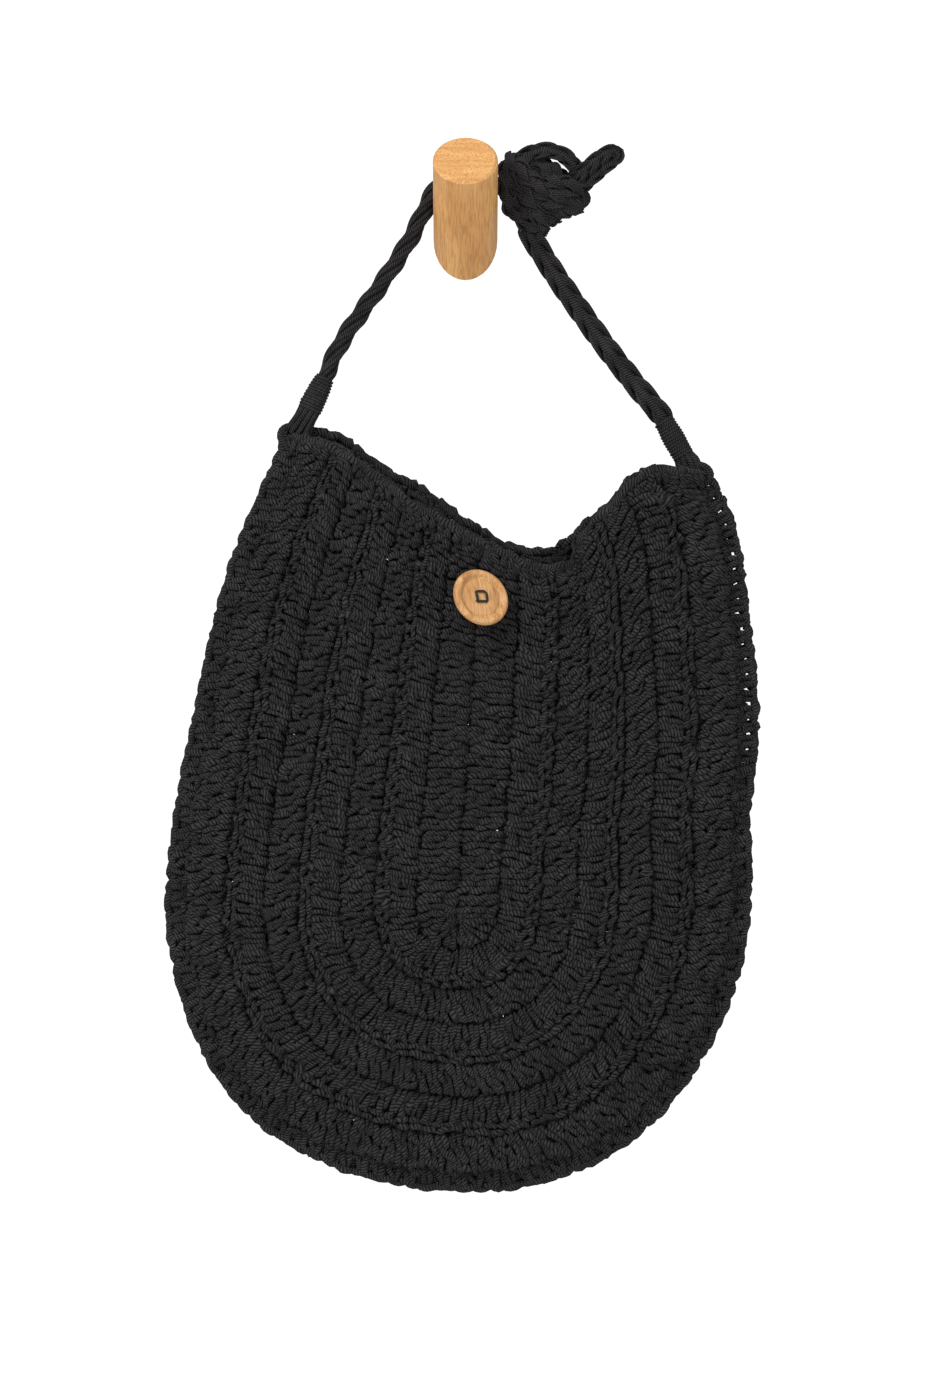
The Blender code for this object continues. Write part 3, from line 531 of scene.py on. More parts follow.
def cloth(spots, outward):
    """A cloth from rows of points, whose directions point outward."""
    spots = np.array(spots)
    facings = np.cross(np.gradient(spots, axis=0), np.gradient(spots, axis=1))
    facings[:, 0] = facings[:, 1]
    facings /= np.linalg.norm(facings, axis=2, keepdims=True) + 1e-12
    if np.sum(facings * np.array(outward)) < 0.0:
        facings = -facings
    return Cloth(spots, facings)


def wall(surface, outward, lowered):
    """A wall of the bag below its rim, by station round the U and line from its middle to its edging."""
    marks = [k / TOP_MARKS for k in range(TOP_MARKS + 1)]
    tops = {}
    for side in (-1, 1):
        tops[side] = []
        for out in marks:
            drop = RIM_HEIGHT - ROW_TUCK + lowered * (1.0 - out**2)
            tops[side].append(1.0 - drop / span(lambda share: surface(side, out, share)))
    spots = []
    for side, v in u_stations(*WALL_STATIONS):
        reach = 1.0 - EDGING_WIDTH / span(lambda share: surface(side, share, v))
        line = []
        for i in range(ROW_COUNT * LINES_A_ROW + 1):
            out = reach * i / (ROW_COUNT * LINES_A_ROW)
            top = float(np.interp(out, marks, tops[side])) if v > 0.0 else 1.0
            line.append(surface(side, out, v * top))
        spots.append(line)
    return cloth(spots, outward)


def wandered(flat, wander, rng):
    """The same points shifted a little, by amounts that drift from place to place."""
    cells = (flat - flat.min(axis=0)) / WANDER_CELL
    low = cells.astype(int)
    share = cells - low
    shifts = rng.normal(0.0, wander, (*(low.max(axis=0) + 2), 3))
    moved = flat.copy()
    for step in product((0, 1), repeat=3):
        weight = np.prod(np.where(step, share, 1.0 - share), axis=1)
        moved += weight[:, None] * shifts[tuple((low + step).T)]
    return moved


def row_line(ground, low, high):
    """How far along a row each station lies, on the line where its stitches are counted."""
    line = low + COUNTING_SHARE * (high - low)
    i = min(int(line), ground.spots.shape[1] - 2)
    t = line - i
    spots = ground.spots[:, i] * (1 - t) + ground.spots[:, i + 1] * t
    return np.concatenate([[0.0], np.cumsum(np.linalg.norm(np.diff(spots, axis=0), axis=1))])


def lay_on_cloth(mesh, ground, low, high, width, length, wander, rng):
    """Moves a flat strip of stitches on to a cloth: x along it, y from line to line, z out of it."""
    flat = np.empty(len(mesh.vertices) * 3)
    mesh.vertices.foreach_get("co", flat)
    x, y, z = wandered(flat.reshape(-1, 3), wander, rng).T
    reached = row_line(ground, low, high)
    station = np.interp(x / length * reached[-1], reached, np.arange(len(reached)))
    line = low + (high - low) * y / width
    a = np.clip(station.astype(int), 0, ground.spots.shape[0] - 2)
    b = np.clip(np.floor(line).astype(int), 0, ground.spots.shape[1] - 2)
    s = (station - a)[:, None]
    t = (line - b)[:, None]

    def mixed(grid):
        near = grid[a, b] * (1 - s) + grid[a + 1, b] * s
        far = grid[a, b + 1] * (1 - s) + grid[a + 1, b + 1] * s
        return near * (1 - t) + far * t

    facing = mixed(ground.facings)
    facing /= np.linalg.norm(facing, axis=1, keepdims=True)
    mesh.vertices.foreach_set("co", (mixed(ground.spots) + facing * z[:, None]).ravel())
    mesh.update()


# Strands of one stitch: radius as a share of the yarn's, steps, points in mm along the row, across it and
# out of it, and sides. The strands behind a row close it from the back.
Strand = namedtuple("Strand", "size steps points sides", defaults=[6])
MILLIMETRE = 0.001
STITCH_PITCH = 0.0058
ROW_WIDTH = 0.0178
BACK_OF_ROW = [
    Strand(1.30, 3, [(4.3, -0.4, -2.1), (3.1, 5.6, -2.3), (1.9, 11.6, -2.3), (0.7, 17.4, -2.1)], 4),
    Strand(1.30, 3, [(7.2, -0.4, -2.1), (6.0, 5.6, -2.3), (4.8, 11.6, -2.3), (3.6, 17.4, -2.1)], 4),
    Strand(1.30, 2, [(-0.7, 4.6, -2.5), (2.9, 4.9, -2.5), (6.5, 4.6, -2.5)], 4),
    Strand(1.30, 2, [(-0.7, 11.6, -2.5), (2.9, 11.9, -2.5), (6.5, 11.6, -2.5)], 4),
    Strand(1.30, 2, [(-0.7, 17.8, -2.6), (2.9, 18.0, -2.6), (6.5, 17.8, -2.6)], 4),
]
STRAIGHT_STITCH = BACK_OF_ROW + [
    Strand(0.94, 4, [(-0.3, 0.2, -1.8), (0.1, 2.4, 1.3), (0.7, 5.2, 1.5), (0.8, 7.8, -0.9)]),
    Strand(0.94, 4, [(-0.4, 5.6, -1.0), (0.1, 8.2, 1.4), (0.8, 11.0, 1.5), (0.9, 13.4, -0.9)]),
    Strand(0.94, 4, [(0.4, 11.2, -1.0), (0.9, 13.4, 1.3), (1.6, 15.6, 1.4), (1.9, 17.5, -1.8)]),
    Strand(0.94, 4, [(2.7, 0.2, -1.8), (2.9, 2.2, 1.0), (3.5, 4.4, 1.3), (3.8, 6.2, -0.9)]),
    Strand(0.94, 4, [(2.6, 3.8, -1.0), (3.1, 6.6, 1.4), (3.8, 9.4, 1.7), (4.0, 12.0, -0.9)]),
    Strand(0.94, 4, [(3.4, 9.4, -1.0), (3.7, 12.2, 1.3), (4.4, 15.0, 1.4), (4.8, 17.5, -1.8)]),
]
LEANING_STITCH = BACK_OF_ROW + [
    Strand(0.94, 4, [(-0.2, 0.2, -1.8), (0.6, 2.6, 1.3), (1.5, 5.4, 1.5), (2.0, 8.0, -0.9)]),
    Strand(0.94, 4, [(0.4, 5.8, -1.0), (1.2, 8.4, 1.4), (2.2, 11.2, 1.5), (2.7, 13.6, -0.9)]),
    Strand(0.94, 4, [(1.7, 11.2, -1.0), (2.5, 13.4, 1.3), (3.4, 15.7, 1.4), (3.9, 17.5, -1.8)]),
    Strand(0.94, 4, [(2.7, 0.2, -1.8), (3.3, 2.2, 1.0), (4.1, 4.4, 1.3), (4.6, 6.2, -0.9)]),
    Strand(0.94, 4, [(3.2, 3.8, -1.0), (4.1, 6.6, 1.4), (5.1, 9.4, 1.7), (5.7, 12.0, -0.9)]),
    Strand(0.94, 4, [(4.5, 9.4, -1.0), (5.3, 12.2, 1.3), (6.3, 15.0, 1.4), (6.9, 17.5, -1.8)]),
]
CHAINED_STITCH = BACK_OF_ROW + [
    Strand(0.94, 4, [(3.9, 0.2, -1.8), (3.3, 2.4, 1.3), (2.7, 5.2, 1.5), (2.3, 7.8, -0.9)]),
    Strand(0.94, 4, [(3.2, 5.4, -1.0), (2.6, 8.0, 1.4), (2.0, 10.8, 1.4), (1.7, 13.2, -0.9)]),
    Strand(0.94, 4, [(6.8, 0.2, -1.8), (6.2, 2.2, 1.0), (5.6, 4.4, 1.3), (5.3, 6.2, -0.9)]),
    Strand(0.94, 4, [(6.3, 3.8, -1.0), (5.6, 6.6, 1.4), (5.0, 9.4, 1.6), (4.6, 12.0, -0.9)]),
    Strand(0.90, 4, [(-0.9, 13.8, -0.8), (1.0, 12.9, 1.2), (3.2, 13.0, 1.4), (5.4, 14.2, -0.8)]),
    Strand(0.90, 4, [(1.8, 16.6, -0.9), (3.4, 15.8, 1.0), (5.2, 15.8, 1.2), (7.4, 17.2, -0.9)]),
]
ROW_STITCHES = [STRAIGHT_STITCH, CHAINED_STITCH] * 2 + [LEANING_STITCH, CHAINED_STITCH, LEANING_STITCH]

# Where the rows begin and end, in rows: the chained rows are a little wider than the others
ROW_EDGES = [0.0, 1.06, 2.17, 3.05, 4.16, 5.04, 6.10, 7.15]

# A strip repeats this many stitches, each drawn a little differently
STITCH_VARIANTS = 5
POINT_WANDER = 0.00055
SIZE_WANDER = 0.10


def stitch_strip(stitch, count, pitch, rng):
    """A flat strip of stitches, as one mesh."""
    bm = bmesh.new()
    for k in range(STITCH_VARIANTS):
        for strand in stitch:
            points = []
            for point in strand.points:
                points.append(Vector(point) * MILLIMETRE + Vector(rng.normal(0.0, POINT_WANDER, 3)))
            path = [point + Vector((k * pitch, 0.0, 0.0)) for point in spline(points, strand.steps)]
            radius = strand.size * YARN_RADIUS * rng.uniform(1.0 - SIZE_WANDER, 1.0 + SIZE_WANDER)
            lay_strand(bm, path, radius, strand.sides)
    seed = finish("stitch", bm, yarn)
    array = seed.modifiers.new("strip", "ARRAY")
    array.count = count // STITCH_VARIANTS
    array.use_relative_offset = False
    array.use_constant_offset = True
    array.constant_offset_displace = (STITCH_VARIANTS * pitch, 0.0, 0.0)
    ready = seed.evaluated_get(bpy.context.evaluated_depsgraph_get())
    strip = bpy.data.meshes.new_from_object(ready)
    bpy.data.objects.remove(seed, do_unlink=True)
    return strip


def crochet_row(name, ground, low, high, stitch, width, pitch, wander, seed):
    """One row of stitches along a cloth."""
    rng = np.random.default_rng(seed)
    count = STITCH_VARIANTS * max(round(row_line(ground, low, high)[-1] / pitch / STITCH_VARIANTS), 1)
    strip = stitch_strip(stitch, count, pitch, rng)
    lay_on_cloth(strip, ground, low, high, width, count * pitch, wander, rng)
    strip.name = name
    made = bpy.data.objects.new(name, strip)
    bpy.context.scene.collection.objects.link(made)
    return made


STITCH_WANDER = 0.00095

# How far the middle of each mouth hangs below its drawn line: the front gives way, so the back's rim shows
MOUTH_LOWERED = {"front": 0.0024, "back": 0.0}
FORWARD = Vector((0.0, -1.0, 0.0))
BACKWARD = Vector((0.0, 1.0, 0.0))
WALLS = [("front", front_point, FORWARD), ("back", back_point, BACKWARD)]
for number, (wall_name, surface, outward) in enumerate(WALLS):
    ground = wall(surface, outward, MOUTH_LOWERED[wall_name])
    for row, stitch in enumerate(ROW_STITCHES):
        name = f"{wall_name}_row_{row + 1}"
        low, high = (ROW_EDGES[row + k] * LINES_A_ROW for k in (0, 1))
        seed = 100 * number + row
        made = crochet_row(name, ground, low, high, stitch, ROW_WIDTH, STITCH_PITCH, STITCH_WANDER, seed)
        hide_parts(f"{wall_name}_panel")
        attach(made, "root")

# Round's middle
# The first row turns round the foot of the chain in one spot, where its stitches crowd into a small fan of
# short strands. Points are shares of the way out from the middle, then how far they stand out of the wall.
FAN_COUNT = 9
FAN_REACHES = (0.7, 1.0)
FAN_SIZE = 0.85
FAN_POINTS = [(0.002, -0.0006), (0.014, 0.0012), (0.034, 0.0020), (0.052, 0.0014), (0.064, -0.0008)]
for wall_name, surface, outward in WALLS:
    bm = bmesh.new()
    for k in range(FAN_COUNT):
        turn = math.pi * k / (FAN_COUNT - 1)
        side = 1 if turn < math.pi / 2 else -1
        v = -min(turn, math.pi - turn) / (math.pi / 2)
        reach = FAN_REACHES[k % 2]
        path = [surface(side, reach * out, v) + outward * lift for out, lift in FAN_POINTS]
        lay_strand(bm, spline(path, 8), FAN_SIZE * YARN_RADIUS)
    made = finish(f"{wall_name}_fan", bm, yarn)
    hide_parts(f"{wall_name}_panel")
    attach(made, "root")

# Rims
# A low firming row is worked along each wall's mouth from corner to corner. Its short posts stand on the
# rows' ends and its chain lies on top in two long leaning strands.
RIM_PITCH = 0.0076
RIM_STITCH = [
    Strand(1.05, 5, [(1.4, -1.6, -0.6), (1.6, 1.0, 1.5), (2.0, 3.4, 1.7), (2.6, 5.2, 0.6)]),
    Strand(1.05, 5, [(5.2, -1.6, -0.6), (5.2, 1.0, 1.3), (5.0, 3.4, 1.6), (4.6, 5.2, 0.6)]),
    Strand(1.30, 8, [(-2.8, 3.4, 0.8), (0.2, 4.4, 2.2), (3.8, 5.2, 2.4), (7.2, 5.4, 1.6), (9.2, 4.6, 0.2)]),
    Strand(
        1.30, 8, [(-1.6, 3.6, -0.8), (1.8, 4.8, -2.0), (5.2, 5.5, -1.9), (8.6, 5.2, -1.2), (10.2, 4.2, -0.2)]
    ),
    Strand(1.05, 5, [(1.4, -1.6, -0.6), (1.6, 1.0, -1.6), (2.0, 3.4, -1.8), (2.6, 5.2, -0.8)]),
    Strand(1.05, 5, [(5.2, -1.6, -0.6), (5.2, 1.0, -1.5), (5.0, 3.4, -1.7), (4.6, 5.2, -0.8)]),
]
RIM_LINES = 4
RIM_STEPS = 60
RIM_INSET = 0.45


def mouth(surface, outward, lowered):
    """The strip along a wall's mouth, by station from left to right and line from its foot to its top."""
    inset = {}
    for side in (-1, 1):
        inset[side] = 1.0 - RIM_INSET * EDGING_WIDTH / span(lambda share: surface(side, share, 1.0))
    left = [(-1, 1.0 - k / RIM_STEPS) for k in range(RIM_STEPS)]
    right = [(1, k / RIM_STEPS) for k in range(RIM_STEPS + 1)]
    spots = []
    for side, share in left + right:
        out = inset[side] * share
        length = span(lambda v: surface(side, out, v))
        top = lowered * (1.0 - share**2)
        drops = [top + RIM_HEIGHT * (1.0 - k / RIM_LINES) for k in range(RIM_LINES + 1)]
        spots.append([surface(side, out, 1.0 - drop / length) for drop in drops])
    return cloth(spots, outward)


for number, (wall_name, surface, outward) in enumerate(WALLS):
    name = f"{wall_name}_rim_chain"
    ground = mouth(surface, outward, MOUTH_LOWERED[wall_name])
    seed = 300 + number
    made = crochet_row(name, ground, 0.0, RIM_LINES, RIM_STITCH, RIM_HEIGHT, RIM_PITCH, STITCH_WANDER, seed)
    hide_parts(f"{wall_name}_rim")
    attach(made, "root")

# Edging
# The walls are joined by one row worked through both of them, down one side, round the foot and up the
# other. Its posts grip both walls and its chain runs along the very edge. High on the right the yarn
# between two posts is pulled down, which leaves a small hole under the chain.
EDGING_PITCH = 0.0078
EDGING_WANDER = 0.00045
FRONT_POSTS = [
    Strand(1.00, 6, [(0.4, -8.6, 1.2), (0.7, -5.4, 3.3), (1.0, -1.4, 3.5), (1.9, 1.8, 2.4), (2.5, 3.6, 0.6)]),
    Strand(1.00, 6, [(4.4, -7.4, 1.2), (4.7, -4.0, 3.2), (4.9, -0.6, 3.3), (4.7, 2.2, 2.2), (4.3, 3.8, 0.6)]),
]
BACK_POSTS = [post._replace(points=[(x, y, -z) for x, y, z in post.points]) for post in FRONT_POSTS]
EDGING_CHAIN = [
    Strand(1.12, 7, [(-1.8, 2.9, 0.5), (1.0, 3.9, 1.7), (4.0, 4.3, 1.7), (7.0, 4.0, 1.1), (8.8, 3.0, 0.0)]),
    Strand(
        1.12, 7, [(-1.2, 2.9, -0.5), (1.6, 3.9, -1.7), (4.6, 4.3, -1.7), (7.6, 4.0, -1.1), (9.4, 3.0, 0.0)]
    ),
]

# How far out the yarn between two posts reaches, in mm, where the edging is closed and where it has holes
BETWEEN_POSTS = {"closed": 2.6, "open": 0.0}
EDGE_STATIONS = (30, 26)
OPEN_SHARE = 0.65
edge_path = []
for side, v in u_stations(*EDGE_STATIONS):
    share = 1.0 - EDGING_WIDTH / 2 / span(lambda out: front_point(side, out, v))
    front = front_point(side, share, v)
    edge_path.append(Vector((front.x, -SEAM_FROM_WALL, front.z)))
edge_spots = []
for spot, ahead in zip(edge_path, headings(edge_path)):
    outward = BACKWARD.cross(ahead)
    edge_spots.append([spot + outward * (EDGING_WIDTH * (j / 2 - 0.5)) for j in range(3)])
opening = len(edge_spots) - 1 - round(OPEN_SHARE * EDGE_STATIONS[0])
STRETCHES = {"closed": edge_spots[: opening + 1], "open": edge_spots[opening:]}
for number, (stretch_name, spots) in enumerate(STRETCHES.items()):
    reach = BETWEEN_POSTS[stretch_name]
    under_chain = Strand(1.35, 4, [(6.7, -8.4, 0.6), (6.9, (reach - 8.0) / 2, 1.6), (7.0, reach, 0.2)])
    between = Strand(1.35, 4, [(2.7, -8.6, 0.6), (2.8, -3.0, 1.4), (3.0, 2.4, 0.2)])
    stitch = [*FRONT_POSTS, *BACK_POSTS, *EDGING_CHAIN, under_chain, between]
    name = f"joining_edge_{stretch_name}"
    ground = cloth(spots, FORWARD)
    edging = crochet_row(
        name, ground, 1.0, 2.0, stitch, EDGING_WIDTH / 2, EDGING_PITCH, EDGING_WANDER, 400 + number
    )
    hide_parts("edging")
    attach(edging, "root")

# Strap ends
# At each upper corner the strap's yarns come out of the bag together, and a yarn is whipped round them in
# close turns. The left end spreads over its corner, the right one stands on a small ball.
PEG_DIAMETER = 0.030
BRAID_WIDTH = 0.0104
BRAID_THICKNESS = 0.0074
BRAID_BUMP = 0.0105
BRAID_FROM_WALL = 0.0072
WRAP_LENGTH = 0.0270
STRAP_INSET = 0.0091
KNOT_WIDTH = 0.0425
KNOT_HEIGHT = 0.0375
KNOT_DEPTH = 0.0220
KNOT_FROM_WALL = 0.0135
KNOT_BASE_RISE = 0.0005
STRAP_LEAVES_PEG = math.radians(58.0)
WHIPPING_RADIUS = 0.00080
WHIPPING_SHARE = {"left": (0.36, 0.98), "right": (0.27, 0.98)}
WHIPPING_RISE = 1.85
WHIPPING_STEPS = 14
WHIPPING_WANDER = 0.00012
WHIPPING_SEAT = 0.7
LEAD_COUNT = 11
LEAD_RADIUS = 0.00125
LEAD_TWIST = 0.6
LEAD_CORE = (-0.16, 0.2, 0.6, 0.98)

# The shares of the braid's width and thickness that keep it clear of the slanted peg, and its steps over it
BROAD_CLEARING = 0.49
THIN_CLEARING = 0.51
PEG_STEPS = 18
RUN_STEPS = 24

# Where the strap's ends lie in the knot, in the knot's shares
INTO_KNOT = [(0.12, 0.60, -0.15), (0.30, 0.48, 0.0)]
OUT_OF_KNOT = (0.33, 0.10, 0.0)

# The lengthwise yarns' distance from the middle, by share of the end's height: the left end spreads at its
# foot, the right one swells to a ball over the bag
LEAD_PROFILES = {
    "left": [(-0.16, 0.0056), (0.0, 0.0050), (0.18, 0.0042), (0.42, 0.0042), (0.70, 0.0039), (0.98, 0.0030)],
    "right": [(-0.16, 0.0026), (0.0, 0.0044), (0.12, 0.0048), (0.27, 0.0037), (0.60, 0.0039), (0.98, 0.0032)],
}

# How far each run of the strap bows aside, as shares of its own length
STRAP_BOWS = {
    "left": [
        (0.0, 0.0), (0.20, -0.012), (0.34, -0.025), (0.46, -0.018), (0.62, -0.002), (0.82, 0.009), (1.0, 0.0)
    ],
    "right":[(0.0, 0.0), (0.20, 0.018), (0.35, 0.003), (0.55, -0.010), (0.80, -0.015), (1.0, -0.009)],
}


def corner(side):
    """Where the strap leaves the bag: the rims' top between the two walls, a little in from the corner."""
    inset = 1.0 - STRAP_INSET / span(lambda share: front_point(side, share, 1.0))
    front, back = front_point(side, inset, 1.0), back_point(side, inset, 1.0)
    top = front_point(side, 1.0, 1.0)
    return Vector((front.x, -SEAM_FROM_WALL, max(top.z, front.z, back.z) + GAP))


def knot_place(across, up, forward):
    """A point given in the knot's own shares."""
    return Vector(
        (
            PEG_DIAMETER / 2 + GAP + across * KNOT_WIDTH,
            -KNOT_FROM_WALL - forward * KNOT_DEPTH,
            KNOT_BASE_RISE + up * KNOT_HEIGHT,
        )
    )


def over_the_peg(start):
    """The strap's way over the peg from where a run from start touches it, to inside the knot."""
    broad_lift = BROAD_CLEARING * BRAID_WIDTH * math.sin(PEG_TILT)
    thin_lift = THIN_CLEARING * BRAID_THICKNESS * math.cos(PEG_TILT)
    clearance = PEG_DIAMETER / 2 + math.hypot(broad_lift, thin_lift) + GAP
    middle = BRAID_FROM_WALL * math.tan(PEG_TILT)
    half_up = clearance / math.cos(PEG_TILT)
    flat = (start.x / clearance, (start.z - middle) / half_up)
    touch = math.atan2(flat[1], flat[0]) % (2 * math.pi) - math.acos(1.0 / math.hypot(*flat))
    path = []
    for k in range(PEG_STEPS + 1):
        turn = touch + (STRAP_LEAVES_PEG - touch) * k / PEG_STEPS
        path.append(Vector((clearance * math.cos(turn), -BRAID_FROM_WALL, middle + half_up * math.sin(turn))))
    inside = [knot_place(*spot) for spot in INTO_KNOT]
    return path + spline([path[-1], *inside], 6)[1:]


def strap_run(side, far_end, bows):
    """A run of the strap from its corner, nearly straight, bowing aside in the wall's plane."""
    foot = corner(side)
    run = far_end - foot
    aside = Vector((run.z, 0.0, -run.x))
    shares = [k / RUN_STEPS for k in range(RUN_STEPS + 1)]
    return [foot + run * share + aside * eased(bows, share, 1) for share in shares]


def resample(path, step):
    """The same path with its points evenly spaced."""
    reached = reached_along(path)
    count = max(round(reached[-1] / step), 2)
    places = np.linspace(0.0, reached[-1], count + 1)
    even = [np.interp(places, reached, [point[i] for point in path]) for i in range(3)]
    return [Vector(point) for point in zip(*even)]


def lay_yarns(bm, path, facings, count, spacing, radius):
    """Yarns laid side by side along a path, as a band that faces one way at each point."""
    for j in range(count):
        aside = (j - (count - 1) / 2) * spacing
        lane = []
        for spot, ahead, facing in zip(path, headings(path), facings):
            lane.append(spot + ahead.cross(facing).normalized() * aside)
        lay_strand(bm, lane, radius)


over = over_the_peg(corner(-1))
RUNS = {
    "left": strap_run(-1, over[0], STRAP_BOWS["left"]),
    "right": strap_run(1, knot_place(*OUT_OF_KNOT), STRAP_BOWS["right"]),
}
for side_name, run in RUNS.items():
    foot = run[0]
    upward = (run[5] - foot).normalized()
    across = upward.cross(BACKWARD).normalized()
    depth = upward.cross(across)
    bm = bmesh.new()
    profile = LEAD_PROFILES[side_name]

    def around(share, turn, extra):
        """A point round the end, at a share of its height."""
        radius = eased(profile, share, 1) + extra
        out = across * math.cos(turn) + depth * math.sin(turn)
        return foot + upward * (WRAP_LENGTH * share) + out * radius

    low, high = WHIPPING_SHARE[side_name]
    turns = round(WRAP_LENGTH * (high - low) / (WHIPPING_RISE * WHIPPING_RADIUS))
    rng = np.random.default_rng(500 + len(side_name))
    bulges = rng.normal(0.0, WHIPPING_WANDER, turns + 2)
    coil = []
    for k in range(turns * WHIPPING_STEPS + 1):
        part = k / (turns * WHIPPING_STEPS)
        extra = WHIPPING_SEAT * LEAD_RADIUS + float(np.interp(part * turns, np.arange(turns + 2), bulges))
        coil.append(around(low + (high - low) * part, 2 * math.pi * turns * part, extra))
    lay_strand(bm, coil, WHIPPING_RADIUS)
    for k in range(LEAD_COUNT):
        turn = 2 * math.pi * k / LEAD_COUNT
        lead = [around(share, turn + LEAD_TWIST * share, 0.0) for share, reach in profile]
        lay_strand(bm, spline(lead, 12), LEAD_RADIUS)
    lay_strand(bm, [foot + upward * (WRAP_LENGTH * share) for share in LEAD_CORE], 2 * LEAD_RADIUS)
    made = finish(f"{side_name}_whipping", bm, tight_yarn)
    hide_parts(f"{side_name}_wrap")
    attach(made, "root")

# Corner folds
# The edging ends at each upper corner in a fold of yarn, which comes out over the strap's foot and turns
# back down into the edge. It lies as three strands side by side.
CORNER_FOLDS = {
    "left": (-1, [(8.0, 1.4), (4.2, 2.2), (1.0, 0.6), (0.2, -2.9), (2.4, -6.6), (5.0, -9.5)]),
    "right": (1, [(-10.0, 2.0), (-5.0, 3.4), (-0.9, 2.0), (0.9, -1.2), (-1.0, -4.6), (-4.6, -6.8)]),
}
FOLD_SPACING = 0.0027
FOLD_SIZE = 1.15
for side_name, (side, fold) in CORNER_FOLDS.items():
    tip = front_point(side, 1.0, 1.0)
    bm = bmesh.new()
    for lane in (-1, 0, 1):
        depth = lane * FOLD_SPACING - SEAM_FROM_WALL
        path = [Vector((tip.x + x * MILLIMETRE, depth, tip.z + z * MILLIMETRE)) for x, z in fold]
        lay_strand(bm, spline(path, 12), FOLD_SIZE * YARN_RADIUS)
    made = finish(f"{side_name}_corner_fold", bm, yarn)
    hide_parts("edging")
    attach(made, "root")

# Strap braids
# Three strands of yarns are plaited. The left braid, with six yarns a strand, is pulled into a round rope
# and runs over the peg into the knot. The right one, with four, hangs flat out of the knot's foot.
BRAID_YARNS = 4
BRAID_YARN_RADIUS = 0.00077
BRAID_YARN_SPACING = 0.00132
BRAID_CORE_RADIUS = 0.0024
BRAID_SWING = 0.0033
BRAID_LIFT = 0.0022
BRAID_ROLL = 1.15
BUNDLE_YARNS = 5
BUNDLE_RADIUS = 0.00118
ROPE_REACH = 0.0020
ROPE_STRETCH = 1.25
PLAIT_STEP = 0.0011
BRAID_SIZE = 1.14

# How narrow a braid starts and how fast it grows at each step, and where it comes out of the wrapped end
BRAID_START = 0.7
BRAID_GROWTH = 0.08
BRAID_FOOT = 0.93
BRAID_FREE = 0.97


def lay_bundle(bm, path, facings, size):
    """Yarns gathered round one in the middle of them."""
    lay_strand(bm, path, size * BRAID_YARN_RADIUS)
    for j in range(BUNDLE_YARNS):
        turn = 2 * math.pi * j / BUNDLE_YARNS
        lane = []
        for spot, ahead, facing in zip(path, headings(path), facings):
            aside = ahead.cross(facing).normalized()
            lane.append(spot + (facing * math.cos(turn) + aside * math.sin(turn)) * (size * BUNDLE_RADIUS))
        lay_strand(bm, lane, size * BRAID_YARN_RADIUS)


def plait(bm, path, facings, start=1.0, size=1.0, phase=0.0):
    """Three strands of yarns, plaited along an evenly spaced path that faces one way at each point."""
    lay_strand(bm, path, size * BRAID_CORE_RADIUS)
    cycle = 3 * size * BRAID_BUMP / PLAIT_STEP
    for strand in range(3):
        lane = []
        faces = []
        for k, (spot, ahead, facing) in enumerate(zip(path, headings(path), facings)):
            broad = ahead.cross(facing).normalized()
            thin = broad.cross(ahead)
            turn = 2 * math.pi * (k / cycle + strand / 3 + phase)
            narrow = size * min(start + BRAID_GROWTH * k, 1.0)
            aside = narrow * BRAID_SWING * math.sin(turn)
            lane.append(spot + broad * aside + thin * (narrow * BRAID_LIFT * math.sin(2 * turn)))
            roll = BRAID_ROLL * math.sin(turn)
            faces.append(thin * math.cos(roll) + broad * math.sin(roll))
        lay_yarns(bm, lane, faces, BRAID_YARNS, size * BRAID_YARN_SPACING, size * BRAID_YARN_RADIUS)


def tight_plait(bm, path, facings, start=1.0, size=1.0):
    """The same braid pulled long and round, so its strands wind about one another."""
    cycle = 3 * ROPE_STRETCH * size * BRAID_BUMP / PLAIT_STEP
    for strand in range(3):
        lane = []
        faces = []
        for k, (spot, ahead, facing) in enumerate(zip(path, headings(path), facings)):
            broad = ahead.cross(facing).normalized()
            turn = 2 * math.pi * (k / cycle + strand / 3)
            faces.append(broad * math.sin(turn) + broad.cross(ahead) * math.cos(turn))
            lane.append(spot + faces[-1] * (size * ROPE_REACH * min(start + BRAID_GROWTH * k, 1.0)))
        lay_bundle(bm, lane, faces, size)


for side_name, route, braid in (("left", over[1:], tight_plait), ("right", [], plait)):
    run = RUNS[side_name]
    foot = run[0]
    upward = (run[5] - foot).normalized()
    rest = [point for point in run if (point - foot).dot(upward) > BRAID_FREE * WRAP_LENGTH]
    path = resample([foot + upward * (BRAID_FOOT * WRAP_LENGTH), *rest, *route], PLAIT_STEP)
    facings = [(BACKWARD - ahead * BACKWARD.dot(ahead)).normalized() for ahead in headings(path)]
    bm = bmesh.new()
    braid(bm, path, facings, start=BRAID_START, size=BRAID_SIZE)
    made = finish(f"{side_name}_plait", bm, tight_yarn)
    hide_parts(f"{side_name}_braid")
    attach(made, "root")

# Knot
# The strap's two ends are tied beside the peg, all in the same braid. Its turns wind down past the peg and
# round to the right over a packed middle, a loop arches over the top, and a doubled end points up.
KNOT_CORE = knot_place(0.42, 0.46, 0.0)
CORE_SHARES = (0.38, 0.38, 0.36)
KNOT_BRAID_SIZE = 0.9
TURN_PHASE = 0.13
LOOP_SIZE = 0.84
TAIL_SIZE = 0.70

